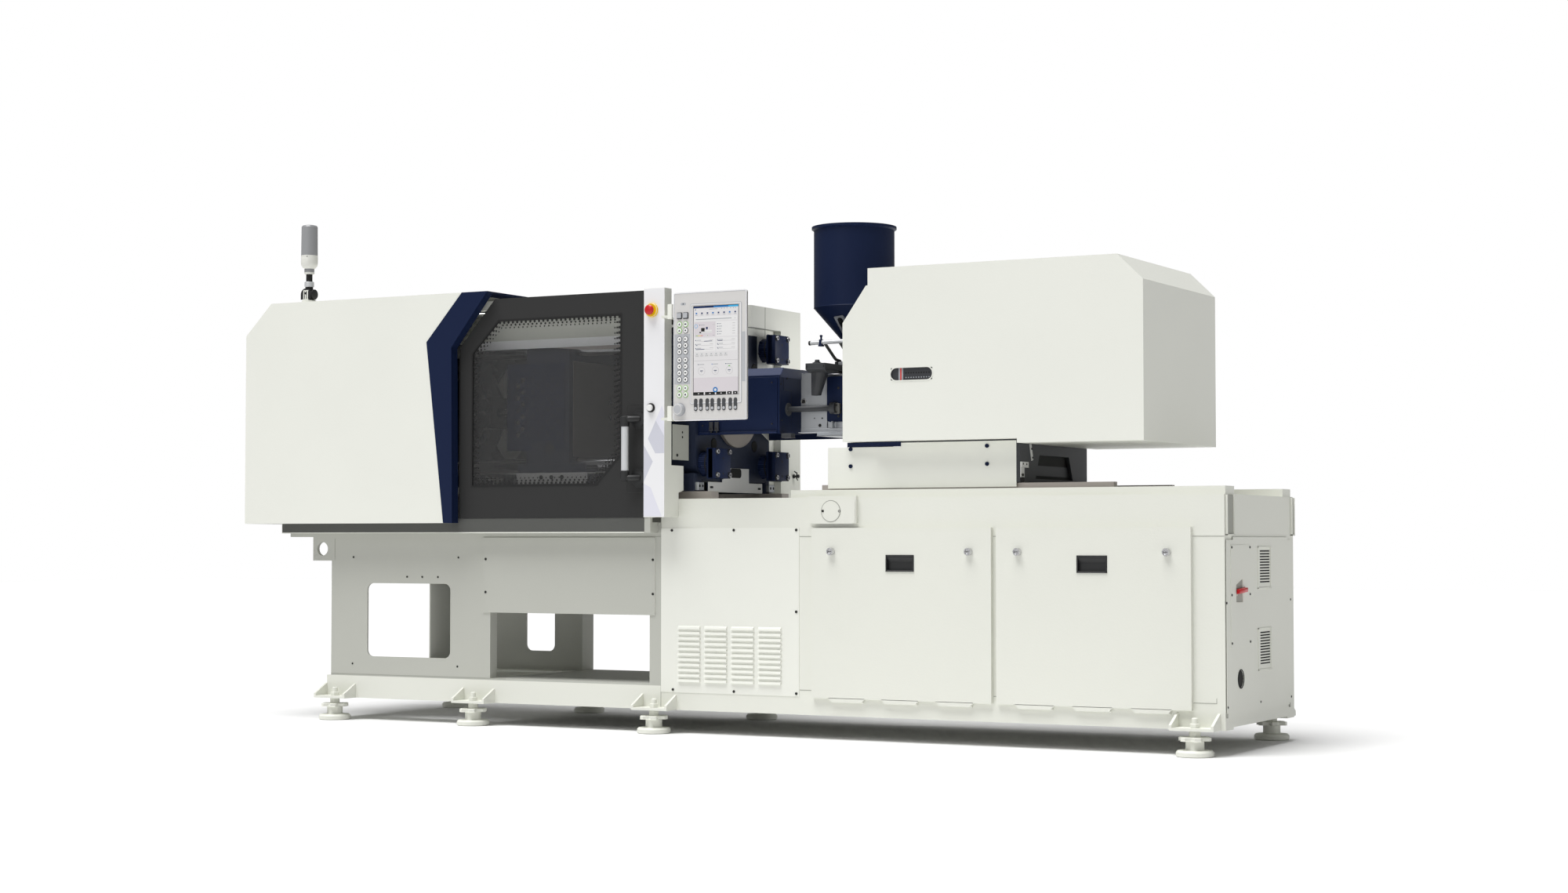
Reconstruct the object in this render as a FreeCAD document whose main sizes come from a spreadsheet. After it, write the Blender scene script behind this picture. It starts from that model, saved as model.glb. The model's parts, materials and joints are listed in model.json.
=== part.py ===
"""An all-electric injection moulding machine, built as a parametric assembly.

X runs along the machine from the clamp to the injection end, the operator stands at -Y and
Z = 0 is the floor. Y = 0 and Z = axis_height is the line of the screw, nozzle and toggle.
"""
import FreeCAD, Part
import math
import os
import Sketcher

doc = FreeCAD.newDocument("moulding_machine")
sheet = doc.addObject("Spreadsheet::Sheet", "Sizes")
Vector = FreeCAD.Vector


class Size:
    """A length or angle that carries its value and its formula in the sheet of sizes."""

    def __init__(self, formula, value):
        self.formula = formula
        self.value = float(value)

    def __add__(self, other):
        return Size(f"({self.formula} + {formula(other)})", self.value + number(other))

    def __radd__(self, other):
        return Size(f"({formula(other)} + {self.formula})", number(other) + self.value)

    def __sub__(self, other):
        return Size(f"({self.formula} - {formula(other)})", self.value - number(other))

    def __rsub__(self, other):
        return Size(f"({formula(other)} - {self.formula})", number(other) - self.value)

    def __mul__(self, other):
        return Size(f"({self.formula} * {formula(other)})", self.value * number(other))

    __rmul__ = __mul__

    def __truediv__(self, other):
        return Size(f"({self.formula} / {formula(other)})", self.value / number(other))

    def __neg__(self):
        return Size(f"(-{self.formula})", -self.value)


def number(size):
    return size.value if isinstance(size, Size) else float(size)


def formula(size):
    return size.formula if isinstance(size, Size) else repr(size)


def cosine(angle):
    return Size(f"cos({formula(angle)})", math.cos(math.radians(number(angle))))


def sine(angle):
    return Size(f"sin({formula(angle)})", math.sin(math.radians(number(angle))))


def arc_cosine(ratio):
    return Size(f"(acos({formula(ratio)}) / 1deg)", math.degrees(math.acos(number(ratio))))


# Driving dimensions in millimetres, each written once; the sheet takes them over
SIZES = {
    # Fits between pieces
    "running_gap": 0.3, "bore_clearance": 0.05, "sliding_gap": 1.0,
    # Machine axis and base
    "axis_height": 1358, "base_left": -1889, "base_length": 4152, "base_half": 412,
    "rail_bottom": 95, "rail_height": 97, "rail_width": 90, "rail_wall": 8, "cross_member": 80,
    "cabinet_left": -147, "cabinet_wall": 6,
    # Levelling feet and their welded brackets
    "foot_left_inset": 77, "foot_2": -1064, "foot_3": -157, "foot_right_inset": 104,
    "foot_half": 450, "pad_radius": 69, "pad_height": 18, "pad_bevel": 6, "neck_radius": 34,
    "neck_height": 34, "star_radius": 62, "star_height": 14, "stud_radius": 12, "stud_top": 142,
    "nut_radius": 19, "nut_height": 16, "bracket_half": 85, "bracket_plate": 10,
    "bracket_reach": 80, "gusset_height": 52, "gusset_plate": 10,
    # Clamp frame
    "frame_left": -1866, "frame_wall": 8, "beam_left": -2102, "front_window_left": -1665,
    "front_window_right": -1215, "window_bottom": 279, "window_top": 600, "window_radius": 30,
    "chute_left": -1004, "chute_right": -202, "chute_top": 480, "rear_wall_left": -1760,
    "rear_wall_right": -1018, "rear_window_left": -1383, "rear_window_right": -1225,
    "rear_window_top": 560, "return_depth": 42, "eye_left": -1972, "eye_bottom": 698,
    "eye_plate": 16, "eye_radius": 30, "way_half": 300, "way_width": 60, "way_height": 32,
    "way_left": -1700, "way_right": 43,
    # Sheet panels on the base
    "panel_sheet": 2, "vent_left": -146, "vent_right": 499, "panel_bottom": 167,
    "louvre_left": -62, "louvre_width": 104, "louvre_pitch_x": 125.5, "louvre_bottom": 211,
    "louvre_pitch_z": 21.5, "louvre_height": 14, "louvre_depth": 9, "chute_panel_left": -1041,
    "chute_panel_right": -175,
    # Cabinet doors
    "door_left_start": 563, "door_right_start": 1362, "door_width": 778, "door_bottom": 165,
    "door_top_gap": 121, "door_depth": 18, "door_skin": 2, "knob_inset": 91, "knob_drop": 93,
    "knob_radius": 15, "knob_proud": 20, "knob_stem": 6, "grip_left": 333, "grip_width": 116,
    "grip_drop": 109, "grip_height": 59, "grip_depth": 14, "hook_width": 70, "hook_drop": 14,
    "hook_bead": 3, "opening_margin": 60,
    # End of the cabinet
    "end_sheet": 3, "end_half": 372, "switch_left": -360, "switch_right": -135,
    "switch_bottom": 393, "switch_top": 771, "pocket_left": -288, "pocket_right": -208,
    "pocket_bottom": 558, "pocket_top": 644, "lever_reach": 72, "lever_width": 16,
    "lever_thick": 14, "lever_hub": 16, "grille_left": -20, "grille_right": 103,
    "grille_slots": 12, "grille_low": 320, "grille_high": 628, "slot_pitch": 10.6,
    "slot_height": 5.5, "cable_y": -250, "cable_z": 276, "cable_radius": 32, "junction_left": 552,
    "junction_right": 762, "junction_depth": 18, "junction_disc": 41, "junction_disc_x": 652,
    # Clamp cover, its navy trim, the gates and the columns
    "cover_left": -2273, "cover_half": 523, "cover_sheet": 3, "cover_shoulder_x": -2129,
    "cover_right_low": -1172, "cover_knee_x": -1265, "cover_right_top": -1079,
    "trim_right_low": -1125, "trim_knee_x": -1133, "trim_right_top": -946, "trim_depth": 45,
    "trim_proud": 3, "trim_lip": 6, "gate_inset": 49, "gate_depth": 22, "gate_left": -1127,
    "gate_right": -172, "gate_shoulder_x": -942, "sight_left": -1060, "sight_right": -304,
    "sight_shoulder_x": -923, "sight_corner_x": -425, "sight_overlap": 25, "sight_sheet": 6,
    "track_height": 40, "track_depth": 12, "handle_x": -256, "handle_radius": 16,
    "handle_length": 188, "handle_end": 46, "handle_standoff": 46, "handle_foot_x": -206,
    "handle_foot_radius": 40, "handle_foot_spacing": 246, "handle_plate_left": -264,
    "handle_plate_right": -180, "handle_plate": 3, "column_left": -163, "column_right": -64,
    "column_depth": 54, "column_sheet": 4, "ear_depth": 150, "rear_right": -3, "rear_inner": 345,
    "rear_reach": 80, "roof_half": 430,
    # Buttons on the control column
    "stop_x": -124, "stop_radius": 20, "stop_travel": 6, "stop_height": 32, "stop_neck": 9,
    "collar_radius": 28, "collar_height": 10, "start_x": -128, "start_radius": 14,
    "start_height": 11, "start_ring": 17, "start_ring_height": 5,
    # Operator panel on its hinge brackets
    "panel_left": 2, "panel_width": 340, "panel_tall": 518, "panel_proud": 37, "panel_depth": 45,
    "panel_edge": 8, "screen_left": 93, "screen_width": 212, "screen_drop": 62,
    "screen_height": 352, "screen_glass": 3, "hinge_x": -14, "hinge_proud": 17, "hinge_pin": 6,
    "hinge_lug": 8, "hinge_ear": 34, "hinge_plate": 10, "dial_x": 31, "dial_drop": 472,
    "dial_radius": 24, "dial_height": 20, "dial_stem": 6,
    # Signal lamp
    "lamp_x": -1949, "lamp_inset": 43, "lamp_foot": 32, "lamp_foot_height": 9, "lamp_pivot": 40,
    "lamp_joint": 26, "lamp_joint_width": 30, "lamp_tube": 14, "lamp_nut": 20, "lamp_nut_low": 70,
    "lamp_nut_high": 92, "lamp_neck_top": 150, "lamp_base_top": 206, "lamp_base_radius": 37,
    "lamp_top": 348, "lamp_lens": 36,
    # Platens, tie bars and toggle
    "tie_half": 252, "tie_radius": 35, "tie_clearance": 0.05, "platen_half": 322,
    "platen_chamfer": 60, "fixed_face": -188, "fixed_thick": 150, "locating_radius": 62.5,
    "locating_depth": 14, "moving_face": -663, "moving_thick": 220, "tail_front": -1523,
    "tail_thick": 150, "cap_plate": 28, "cap_half": 62, "cap_gap": 49, "cap_neck": 50,
    "tail_nut_radius": 62, "tail_nut_length": 70, "shoe_length": 348, "foot_clear": 6,
    "core_radius": 70, "link_length": 400, "link_offset": 95, "fold_distance": 500,
    "link_eye": 34, "link_pin": 20, "link_thick": 34, "rear_link_y": 150, "front_link_y": 104,
    "lug_reach": 70, "lug_thick": 24, "drive_radius": 130, "drive_length": 170, "crosshead_y": 62,
    "screw_radius": 20, "crosshead_thick": 80, "crosshead_half": 70, "motor_radius": 95,
    "motor_length": 330, "bearing_radius": 90, "bearing_length": 110, "guard_left": -990,
    "guard_right": -683, "guard_sheet": 2, "ejector_plate_thick": 30, "ejector_pin": 12,
    "ejector_pin_circle": 70, "ejector_gap": 12,
    # Injection unit on its carriage
    "pad_left": 449, "pad_right": 2260, "pad_inner": 290, "pad_outer": 390, "rail_pad_height": 30,
    "guide_y": 315, "guide_width": 34, "guide_height": 21, "guide_start": 560, "guide_end": 1804,
    "carriage_left": 592, "carriage_right": 1425, "carriage_half": 342, "carriage_step_x": 917,
    "carriage_sheet": 3, "shoe_block": 110, "shoe_rise": 31, "deck_thick": 40, "end_plate": 15,
    "frame_side": 39, "end_opening_half": 150, "end_opening_base": 190, "foot_gap": 3,
    "cover_start": 803, "cover_end": 1952, "cover_side": 406, "cover_dip": 18,
    "cover_dip_x": 1440, "cover_slope_x": 1850, "shell_sheet": 3, "nose_start": 678,
    "nose_side": 380, "nose_shoulder_x": 782, "slot_left": 904, "slot_right": 1084,
    "slot_half": 24, "barrel_radius": 48, "melt_screw": 25, "nozzle_radius": 26, "nozzle_bore": 5,
    "nozzle_start": -110, "nozzle_length": 150, "shroud_start": 70, "shroud_radius": 115,
    "shroud_sheet": 3, "feed_left": 478, "feed_right": 640, "feed_half": 150,
    "feed_lug_left": 570, "feed_lug_half": 252, "throat_radius": 30, "hopper_x": 535,
    "hopper_base_width": 90, "hopper_base_front": 345, "hopper_base_back": 140,
    "hopper_stroke": 285, "chute_top_radius": 34, "chute_low_radius": 20, "chute_length": 105,
    "chute_sheet": 3, "slide_thick": 22, "slide_length": 190, "slide_half": 42, "neck_tube": 45,
    "hopper_radius": 167, "hopper_rim": 176, "hopper_sheet": 3, "bar_radius": 9, "bar_half": 104,
    "bar_y": -200, "stay_radius": 7, "rod_y": 227, "rod_radius": 12, "rod_left": 60,
    "stop_plate_x": 1690, "stop_plate": 60, "plate_half": 240, "plate_low": 130,
    "plate_high": 235, "push_x": 1120, "push_plate": 70, "push_stroke": 140, "push_socket": 30,
    "bar_guide_radius": 25, "bar_guide_y": 180, "drive_screw_radius": 22, "ball_nut": 40,
    "ball_nut_length": 150, "drive_motor_radius": 80, "drive_motor_length": 170,
    "dosing_radius": 75, "dosing_rise": 150, "dosing_length": 210,
    # Nozzle guard behind the fixed platen
    "hood_left": -38, "hood_right": 348, "hood_half": 300, "hood_crown": 110, "hood_sheet": 3,
    "hood_door_left": -28, "hood_door_right": 338, "hood_hinge": 5, "hood_opening": 10,
    "cylinder_radius": 24, "cylinder_end": 290, "foot_plate_half": 229, "foot_plate_thick": 6,
    "foot_plate_neck": 113,
}

# Heights in millimetres above or below the machine axis
FROM_AXIS = {
    # Machine axis and base
    "base_top": -400,
    # Clamp frame
    "beam_bottom": -555, "beam_top": -496,
    # Sheet panels on the base
    "panel_top": -520, "chute_panel_top": -558,
    # End of the cabinet
    "end_top": -568, "junction_bottom": -503, "junction_top": -395, "junction_disc_z": -455,
    # Clamp cover, its navy trim, the gates and the columns
    "cover_top": 488, "cover_shoulder_z": 348, "cover_knee_z": 282, "trim_knee_z": 255,
    "gate_bottom": -476, "gate_top": 458, "gate_shoulder_z": 253, "sight_bottom": -340,
    "sight_top": 366, "sight_shoulder_z": 229, "sight_corner_z": -216, "handle_z": -192,
    "handle_plate_bottom": -369, "handle_plate_top": -16, "column_bottom": -476,
    "column_top": 459, "ear_top": -264, "ear_bottom": -365, "rear_shelf": 342, "rear_top": 436,
    "roof_height": 402,
    # Buttons on the control column
    "stop_z": 369, "start_z": -30,
    # Operator panel on its hinge brackets
    "panel_low": -89, "hinge_low": -73, "hinge_high": 342,
    # Platens, tie bars and toggle
    "guard_low": -186, "guard_high": 201,
    # Injection unit on its carriage
    "carriage_low": -364, "carriage_step": -201, "carriage_high": -186, "end_opening_top": -238,
    "cover_low": -180, "cover_high": 503, "cover_slope_z": 404, "nose_shoulder_z": 293,
    "nose_high": 438, "slot_centre": 80, "shroud_base": -115, "feed_low": -146, "feed_high": 104,
    "feed_lug_low": -78, "feed_lug_high": 8, "hopper_base_high": 142, "neck_top": 248,
    "cone_top": 389, "hopper_top": 726, "bar_height": 239, "rod_z": -35,
    # Nozzle guard behind the fixed platen
    "hood_low": -136, "hood_high": 134, "hood_shoulder": 102, "hood_door_low": -126,
    "hood_door_high": 94, "foot_plate_low": -368, "foot_plate_high": -266,
    "foot_plate_step": -327,
}


class SizeBook:
    """The sheet's rows, one for each driving dimension under its own alias."""

    def __init__(self):
        for row, (alias, value) in enumerate((SIZES | FROM_AXIS).items(), start=1):
            sheet.set(f"A{row}", alias)
            sheet.set(f"B{row}", str(value))
            sheet.setAlias(f"B{row}", alias)
            size = Size(f"Sizes.{alias}", value)
            setattr(self, alias, self.axis_height + size if alias in FROM_AXIS else size)


s = SizeBook()
base_right = s.base_left + s.base_length
foot_columns = (s.base_left + s.foot_left_inset, s.foot_2, s.foot_3, base_right - s.foot_right_inset)
gate_front = s.cover_half - s.gate_inset
lamp_y = s.lamp_inset - s.cover_half
hinge_y = -(s.cover_half + s.hinge_proud)
panel_face = s.cover_half + s.panel_proud
door_height = s.base_top - s.door_top_gap - s.door_bottom
doc.recompute()

AXES = {"X": Vector(1, 0, 0), "Y": Vector(0, 1, 0), "Z": Vector(0, 0, 1)}
TURN = {"X": FreeCAD.Rotation(AXES["Y"], 90), "Y": FreeCAD.Rotation(AXES["X"], -90),
        "Z": FreeCAD.Rotation()}
nodes = []


def bind(thing, **sizes):
    """Set properties from sizes, where a double underscore stands for a dot in the path."""
    for path, size in sizes.items():
        thing.setExpression(path.replace("__", "."), formula(size))


def node(thing, name):
    """Name a finished sub-part; its file takes the same name."""
    thing.Label = name
    nodes.append(thing)
    return thing


def place(thing, x, y, z):
    bind(thing, Placement__Base__x=x, Placement__Base__y=y, Placement__Base__z=z)


# ---------------------------------------------------------------- primitives and booleans
def block(x0, x1, y0, y1, z0, z1):
    """A box between two corners."""
    thing = doc.addObject("Part::Box", "block")
    bind(thing, Length=x1 - x0, Width=y1 - y0, Height=z1 - z0)
    place(thing, x0, y0, z0)
    return thing


def round_bar(axis, start, end, across, up, radius, tip=None):
    """A cylinder or, with a tip radius, a cone along an axis.

    across and up are the other two coordinates in the order X, Y, Z.
    """
    thing = doc.addObject("Part::Cylinder" if tip is None else "Part::Cone", "round_bar")
    bind(thing, Height=end - start)
    if tip is None:
        bind(thing, Radius=radius)
    else:
        bind(thing, Radius1=radius, Radius2=tip)
    thing.Placement = FreeCAD.Placement(Vector(), TURN[axis])
    spot = {"X": (start, across, up), "Y": (across, start, up), "Z": (across, up, start)}[axis]
    place(thing, *spot)
    return thing


def hexagon(x, y, z0, z1, radius):
    thing = doc.addObject("Part::Prism", "hexagon")
    thing.Polygon = 6
    bind(thing, Circumradius=radius, Height=z1 - z0)
    place(thing, x, y, z0)
    return thing


def joined(parts):
    if len(parts) == 1:
        return parts[0]
    thing = doc.addObject("Part::MultiFuse", "joined")
    thing.Shapes = parts
    thing.Refine = True
    return thing


def group(parts):
    """Separate solids that share one node."""
    thing = doc.addObject("Part::Compound", "group")
    thing.Links = parts
    return thing


def less(base, tools):
    thing = doc.addObject("Part::Cut", "less")
    thing.Base = base
    thing.Tool = joined(tools)
    thing.Refine = True
    return thing


def mirrored(thing):
    """The same piece on the other side of the machine axis."""
    other = doc.addObject("Part::Mirroring", "mirrored")
    other.Source = thing
    other.Normal = Vector(0, 1, 0)
    return other


# ---------------------------------------------------------------- sketched bodies
def rectangle(a0, a1, b0, b1):
    return [(a0, b0), (a1, b0), (a1, b1), (a0, b1)]


class Sketched:
    """A PartDesign body whose pads and pockets run between two coordinates along an axis.

    An outline is a list of points in the plane's own two coordinates, or one (a, b, radius)
    tuple for a circle.
    """

    NORMAL = {"XY": 1, "XZ": -1, "YZ": 1}

    def __init__(self, name="body"):
        self.body = doc.addObject("PartDesign::Body", name)
        self.body.AllowCompound = True

    def plane(self, name):
        return [o for o in self.body.Origin.OriginFeatures if o.Role == name + "_Plane"][0]

    def sketch(self, plane, outlines, offset):
        """A fully constrained sketch at an offset along the plane's normal."""
        sketch = self.body.newObject("Sketcher::SketchObject", "outline")
        sketch.AttachmentSupport = [(self.plane(plane), "")]
        sketch.MapMode = "FlatFace"
        bind(sketch, AttachmentOffset__Base__z=offset)
        for outline in outlines:
            if isinstance(outline, tuple):
                self.circle(sketch, *outline)
            else:
                self.polygon(sketch, outline)
        return sketch

    def circle(self, sketch, a, b, radius):
        centre = Vector(number(a), number(b), 0)
        round_line = sketch.addGeometry(Part.Circle(centre, AXES["Z"], number(radius)), False)
        self.fix(sketch, round_line, 3, a, b)
        size = sketch.addConstraint(Sketcher.Constraint("Radius", round_line, number(radius)))
        sketch.setExpression(f"Constraints[{size}]", formula(radius))

    def polygon(self, sketch, points):
        corners = [Vector(number(a), number(b), 0) for a, b in points]
        lines = [sketch.addGeometry(Part.LineSegment(corners[i], corners[(i + 1) % len(corners)]), False)
                 for i in range(len(corners))]
        for i, line in enumerate(lines):
            following = lines[(i + 1) % len(lines)]
            sketch.addConstraint(Sketcher.Constraint("Coincident", line, 2, following, 1))
        for line, (a, b) in zip(lines, points):
            self.fix(sketch, line, 1, a, b)

    def fix(self, sketch, line, point, a, b):
        """Tie a sketch point to its two coordinates."""
        for kind, size in (("DistanceX", a), ("DistanceY", b)):
            rule = Sketcher.Constraint(kind, -1, 1, line, point, number(size))
            tie = sketch.addConstraint(rule)
            if isinstance(size, Size):
                sketch.setExpression(f"Constraints[{tie}]", size.formula)

    def pad(self, plane, outlines, near, far):
        offset = near if self.NORMAL[plane] > 0 else -far
        return self.extrude("PartDesign::Pad", plane, outlines, offset, far - near)

    def cut(self, plane, outlines, near, far):
        """A pocket, sunk against the plane's normal; it must take material away."""
        offset = far if self.NORMAL[plane] > 0 else -near
        before = self.last.Shape.Volume
        self.extrude("PartDesign::Pocket", plane, outlines, offset, far - near)
        if self.last.Shape.Volume >= before:
            raise ValueError("a pocket takes nothing away")
        return self

    def extrude(self, kind, plane, outlines, offset, length):
        sketch = self.sketch(plane, outlines, offset)
        self.last = self.body.newObject(kind, "extrusion")
        self.last.Profile = sketch
        bind(self.last, Length=length)
        self.last.Refine = True
        doc.recompute()
        return self

    def rounded(self, axis, radius, spots, reach=2.0):
        """Fillet the straight edges along an axis that pass within reach of the given spots."""
        keep = {"X": (1, 2), "Y": (0, 2), "Z": (0, 1)}[axis]
        names = []
        for i, edge in enumerate(self.last.Shape.Edges):
            run = edge.Vertexes[-1].Point - edge.Vertexes[0].Point
            if run.Length < 0.1 or abs(run.normalize() * AXES[axis]) < 0.999:
                continue
            point = edge.Vertexes[0].Point
            for a, b in spots:
                if math.hypot(point[keep[0]] - number(a), point[keep[1]] - number(b)) < reach:
                    names.append(f"Edge{i + 1}")
                    break
        feature = self.body.newObject("PartDesign::Fillet", "rounding")
        feature.Base = (self.last, names)
        bind(feature, Radius=radius)
        doc.recompute()
        self.last = feature
        return self

    def done(self, name):
        self.body.Tip = self.last
        return node(self.body, name)


def both_sides(thing, name):
    """One piece at the operator side and its twin at the rear, in one node."""
    return node(group([thing, mirrored(thing)]), name)


# ---------------------------------------------------------------- base and feet
rail_top = s.rail_bottom + s.rail_height
foot_places = [(x, side * s.foot_half) for x in foot_columns
               for side in (-1, 1)]


def base_rails():
    """Two channels joined by cross members, with a gusseted bracket over each foot."""
    rails = []
    for side in (-1, 1):
        outer, inner = side * s.base_half, side * (s.base_half - s.rail_width)
        web = side * (s.base_half - s.rail_wall)
        section = [(outer, s.rail_bottom), (inner, s.rail_bottom), (inner, s.rail_bottom + s.rail_wall),
                   (web, s.rail_bottom + s.rail_wall), (web, rail_top - s.rail_wall),
                   (inner, rail_top - s.rail_wall), (inner, rail_top), (outer, rail_top)]
        rails.append(section)
    frame = Sketched().pad("YZ", rails, s.base_left, base_right)
    reach = s.base_half - s.rail_wall
    members = [rectangle(x - s.cross_member / 2, x + s.cross_member / 2, -reach, reach)
               for x in (s.base_left + s.cross_member / 2, s.foot_2, s.foot_3,
                         base_right - s.cross_member / 2)]
    frame.pad("XY", members, s.rail_bottom + s.rail_wall, rail_top - s.rail_wall)
    for side in (-1, 1):
        face, tip = side * s.base_half, side * (s.base_half + s.bracket_reach)
        low, high = (tip, face) if side < 0 else (face, tip)
        plates = [rectangle(x - s.bracket_half, x + s.bracket_half, low, high)
                  for x in foot_columns]
        holes = [(x, side * s.foot_half, s.stud_radius + s.running_gap)
                 for x in foot_columns]
        frame.pad("XY", plates + holes, s.rail_bottom, s.rail_bottom + s.bracket_plate)
        shelf = s.rail_bottom + s.bracket_plate
        gusset = [(face, shelf), (tip, shelf), (tip, shelf + s.gusset_plate),
                  (face, shelf + s.gusset_height)]
        for x in foot_columns:
            for start in (x - s.bracket_half, x + s.bracket_half - s.gusset_plate):
                frame.pad("YZ", [gusset], start, start + s.gusset_plate)
    frame.done("base_rails")


def levelling_feet():
    """Each foot is a round pad with a neck, a star nut to turn, its stud and a lock nut."""
    feet = []
    shelf = s.rail_bottom + s.bracket_plate
    neck_top = s.pad_height + s.pad_bevel + s.neck_height
    for x, y in foot_places:
        stud = [round_bar("Z", Size("0", 0), s.pad_height, x, y, s.pad_radius),
                round_bar("Z", s.pad_height, s.pad_height + s.pad_bevel, x, y, s.pad_radius,
                          s.pad_radius - s.pad_bevel),
                round_bar("Z", s.pad_height + s.pad_bevel, neck_top, x, y, s.neck_radius),
                hexagon(x, y, neck_top, neck_top + s.star_height, s.star_radius),
                round_bar("Z", neck_top, s.stud_top, x, y, s.stud_radius),
                hexagon(x, y, shelf, shelf + s.nut_height, s.nut_radius)]
        feet.append(joined(stud))
    node(group(feet), "levelling_feet")


# ---------------------------------------------------------------- clamp frame and ways
def clamp_frame():
    """Welded stand under the clamp: two side walls with windows, the bed and its lifting eyes."""
    wall = s.base_half - s.frame_wall
    window = rectangle(s.front_window_left, s.front_window_right, s.window_bottom, s.window_top)
    chute = rectangle(s.chute_left, s.chute_right, rail_top + s.frame_wall, s.chute_top)
    frame = Sketched()
    frame.pad("XZ", [rectangle(s.frame_left, s.cabinet_left, rail_top, s.beam_bottom), window, chute],
              -s.base_half, -wall)
    frame.rounded("Y", s.window_radius, window)
    rear_window = rectangle(s.rear_window_left, s.rear_window_right, s.window_bottom, s.rear_window_top)
    frame.pad("XZ", [rectangle(s.rear_wall_left, s.rear_wall_right, rail_top, s.beam_bottom),
                     rear_window], wall, s.base_half)
    frame.rounded("Y", s.window_radius, rear_window)
    frame.pad("XZ", [rectangle(s.chute_right, s.cabinet_left, rail_top, s.beam_bottom)],
              wall, s.base_half)
    for x in (s.chute_left - s.frame_wall, s.chute_right):
        frame.pad("YZ", [rectangle(-wall, -wall + s.return_depth, rail_top, s.beam_bottom)],
                  x, x + s.frame_wall)
    frame.pad("YZ", [rectangle(wall - 2 * s.return_depth, wall, rail_top, s.beam_bottom)],
              s.rear_wall_right - s.frame_wall, s.rear_wall_right)
    frame.pad("XY", [rectangle(s.chute_left - s.frame_wall, s.cabinet_left, -wall, wall)],
              rail_top, rail_top + s.frame_wall)
    frame.pad("XY", [rectangle(s.beam_left, s.cabinet_left, -s.base_half, s.base_half),
                     rectangle(s.front_window_right, s.chute_right, -s.way_half + s.way_width,
                               s.way_half - s.way_width)], s.beam_bottom, s.beam_top)
    eye_top = s.beam_bottom
    for low, high in ((-s.base_half, -s.base_half + s.eye_plate), (s.base_half - s.eye_plate, s.base_half)):
        middle = (s.eye_left + s.frame_left) / 2
        frame.pad("XZ", [rectangle(s.eye_left, s.frame_left, s.eye_bottom, eye_top),
                         (middle, (s.eye_bottom + eye_top) / 2, s.eye_radius)], low, high)
    edge = s.way_width / 2
    for side in (-1, 1):
        frame.pad("XY", [rectangle(s.way_left, s.cabinet_left, side * s.way_half - edge,
                                   side * s.way_half + edge)], s.beam_top, s.base_top)
    outer, inner = gate_front - s.cover_sheet, gate_front - s.gate_depth + s.cover_sheet
    shelf = s.beam_bottom + s.eye_plate
    for side in (-1, 1):
        foot, edge_1, edge_2 = side * s.base_half, side * inner, side * outer
        rail = [(foot, shelf), (edge_2, shelf), (edge_2, s.gate_bottom - s.running_gap),
                (edge_1, s.gate_bottom - s.running_gap), (edge_1, s.beam_top), (foot, s.beam_top)]
        frame.pad("YZ", [rail], s.beam_left, s.column_left)
        edge = side * (s.cover_half - s.cover_sheet - s.running_gap)
        seat = [(foot, s.beam_top), (edge, s.beam_top), (edge, s.beam_top + s.bracket_plate),
                (foot, s.beam_top + s.bracket_plate)]
        frame.pad("YZ", [seat], s.beam_left, s.cover_right_low - s.sliding_gap * 3)
    frame.done("clamp_frame")


def guide_ways():
    """Hardened ways that carry the platens, and the linear guides that carry the carriage."""
    ways = []
    for side in (-1, 1):
        middle = side * s.way_half
        ways.append(block(s.way_left, s.way_right, middle - s.way_width / 2, middle + s.way_width / 2,
                          s.base_top, s.base_top + s.way_height))
        middle = side * s.guide_y
        low = s.base_top + s.rail_pad_height
        ways.append(block(s.guide_start, s.guide_end, middle - s.guide_width / 2,
                          middle + s.guide_width / 2, low, low + s.guide_height))
    node(group(ways), "guide_ways")


# ---------------------------------------------------------------- cabinet under the injection unit
def door_starts():
    return (s.door_left_start, s.door_right_start)


def cabinet_openings():
    """The openings that the two doors close, at either side of the cabinet."""
    low = s.door_bottom + s.opening_margin
    high = s.door_bottom + door_height - s.opening_margin
    return [rectangle(x + s.opening_margin, x + s.door_width - s.opening_margin, low, high)
            for x in door_starts()]


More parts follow.
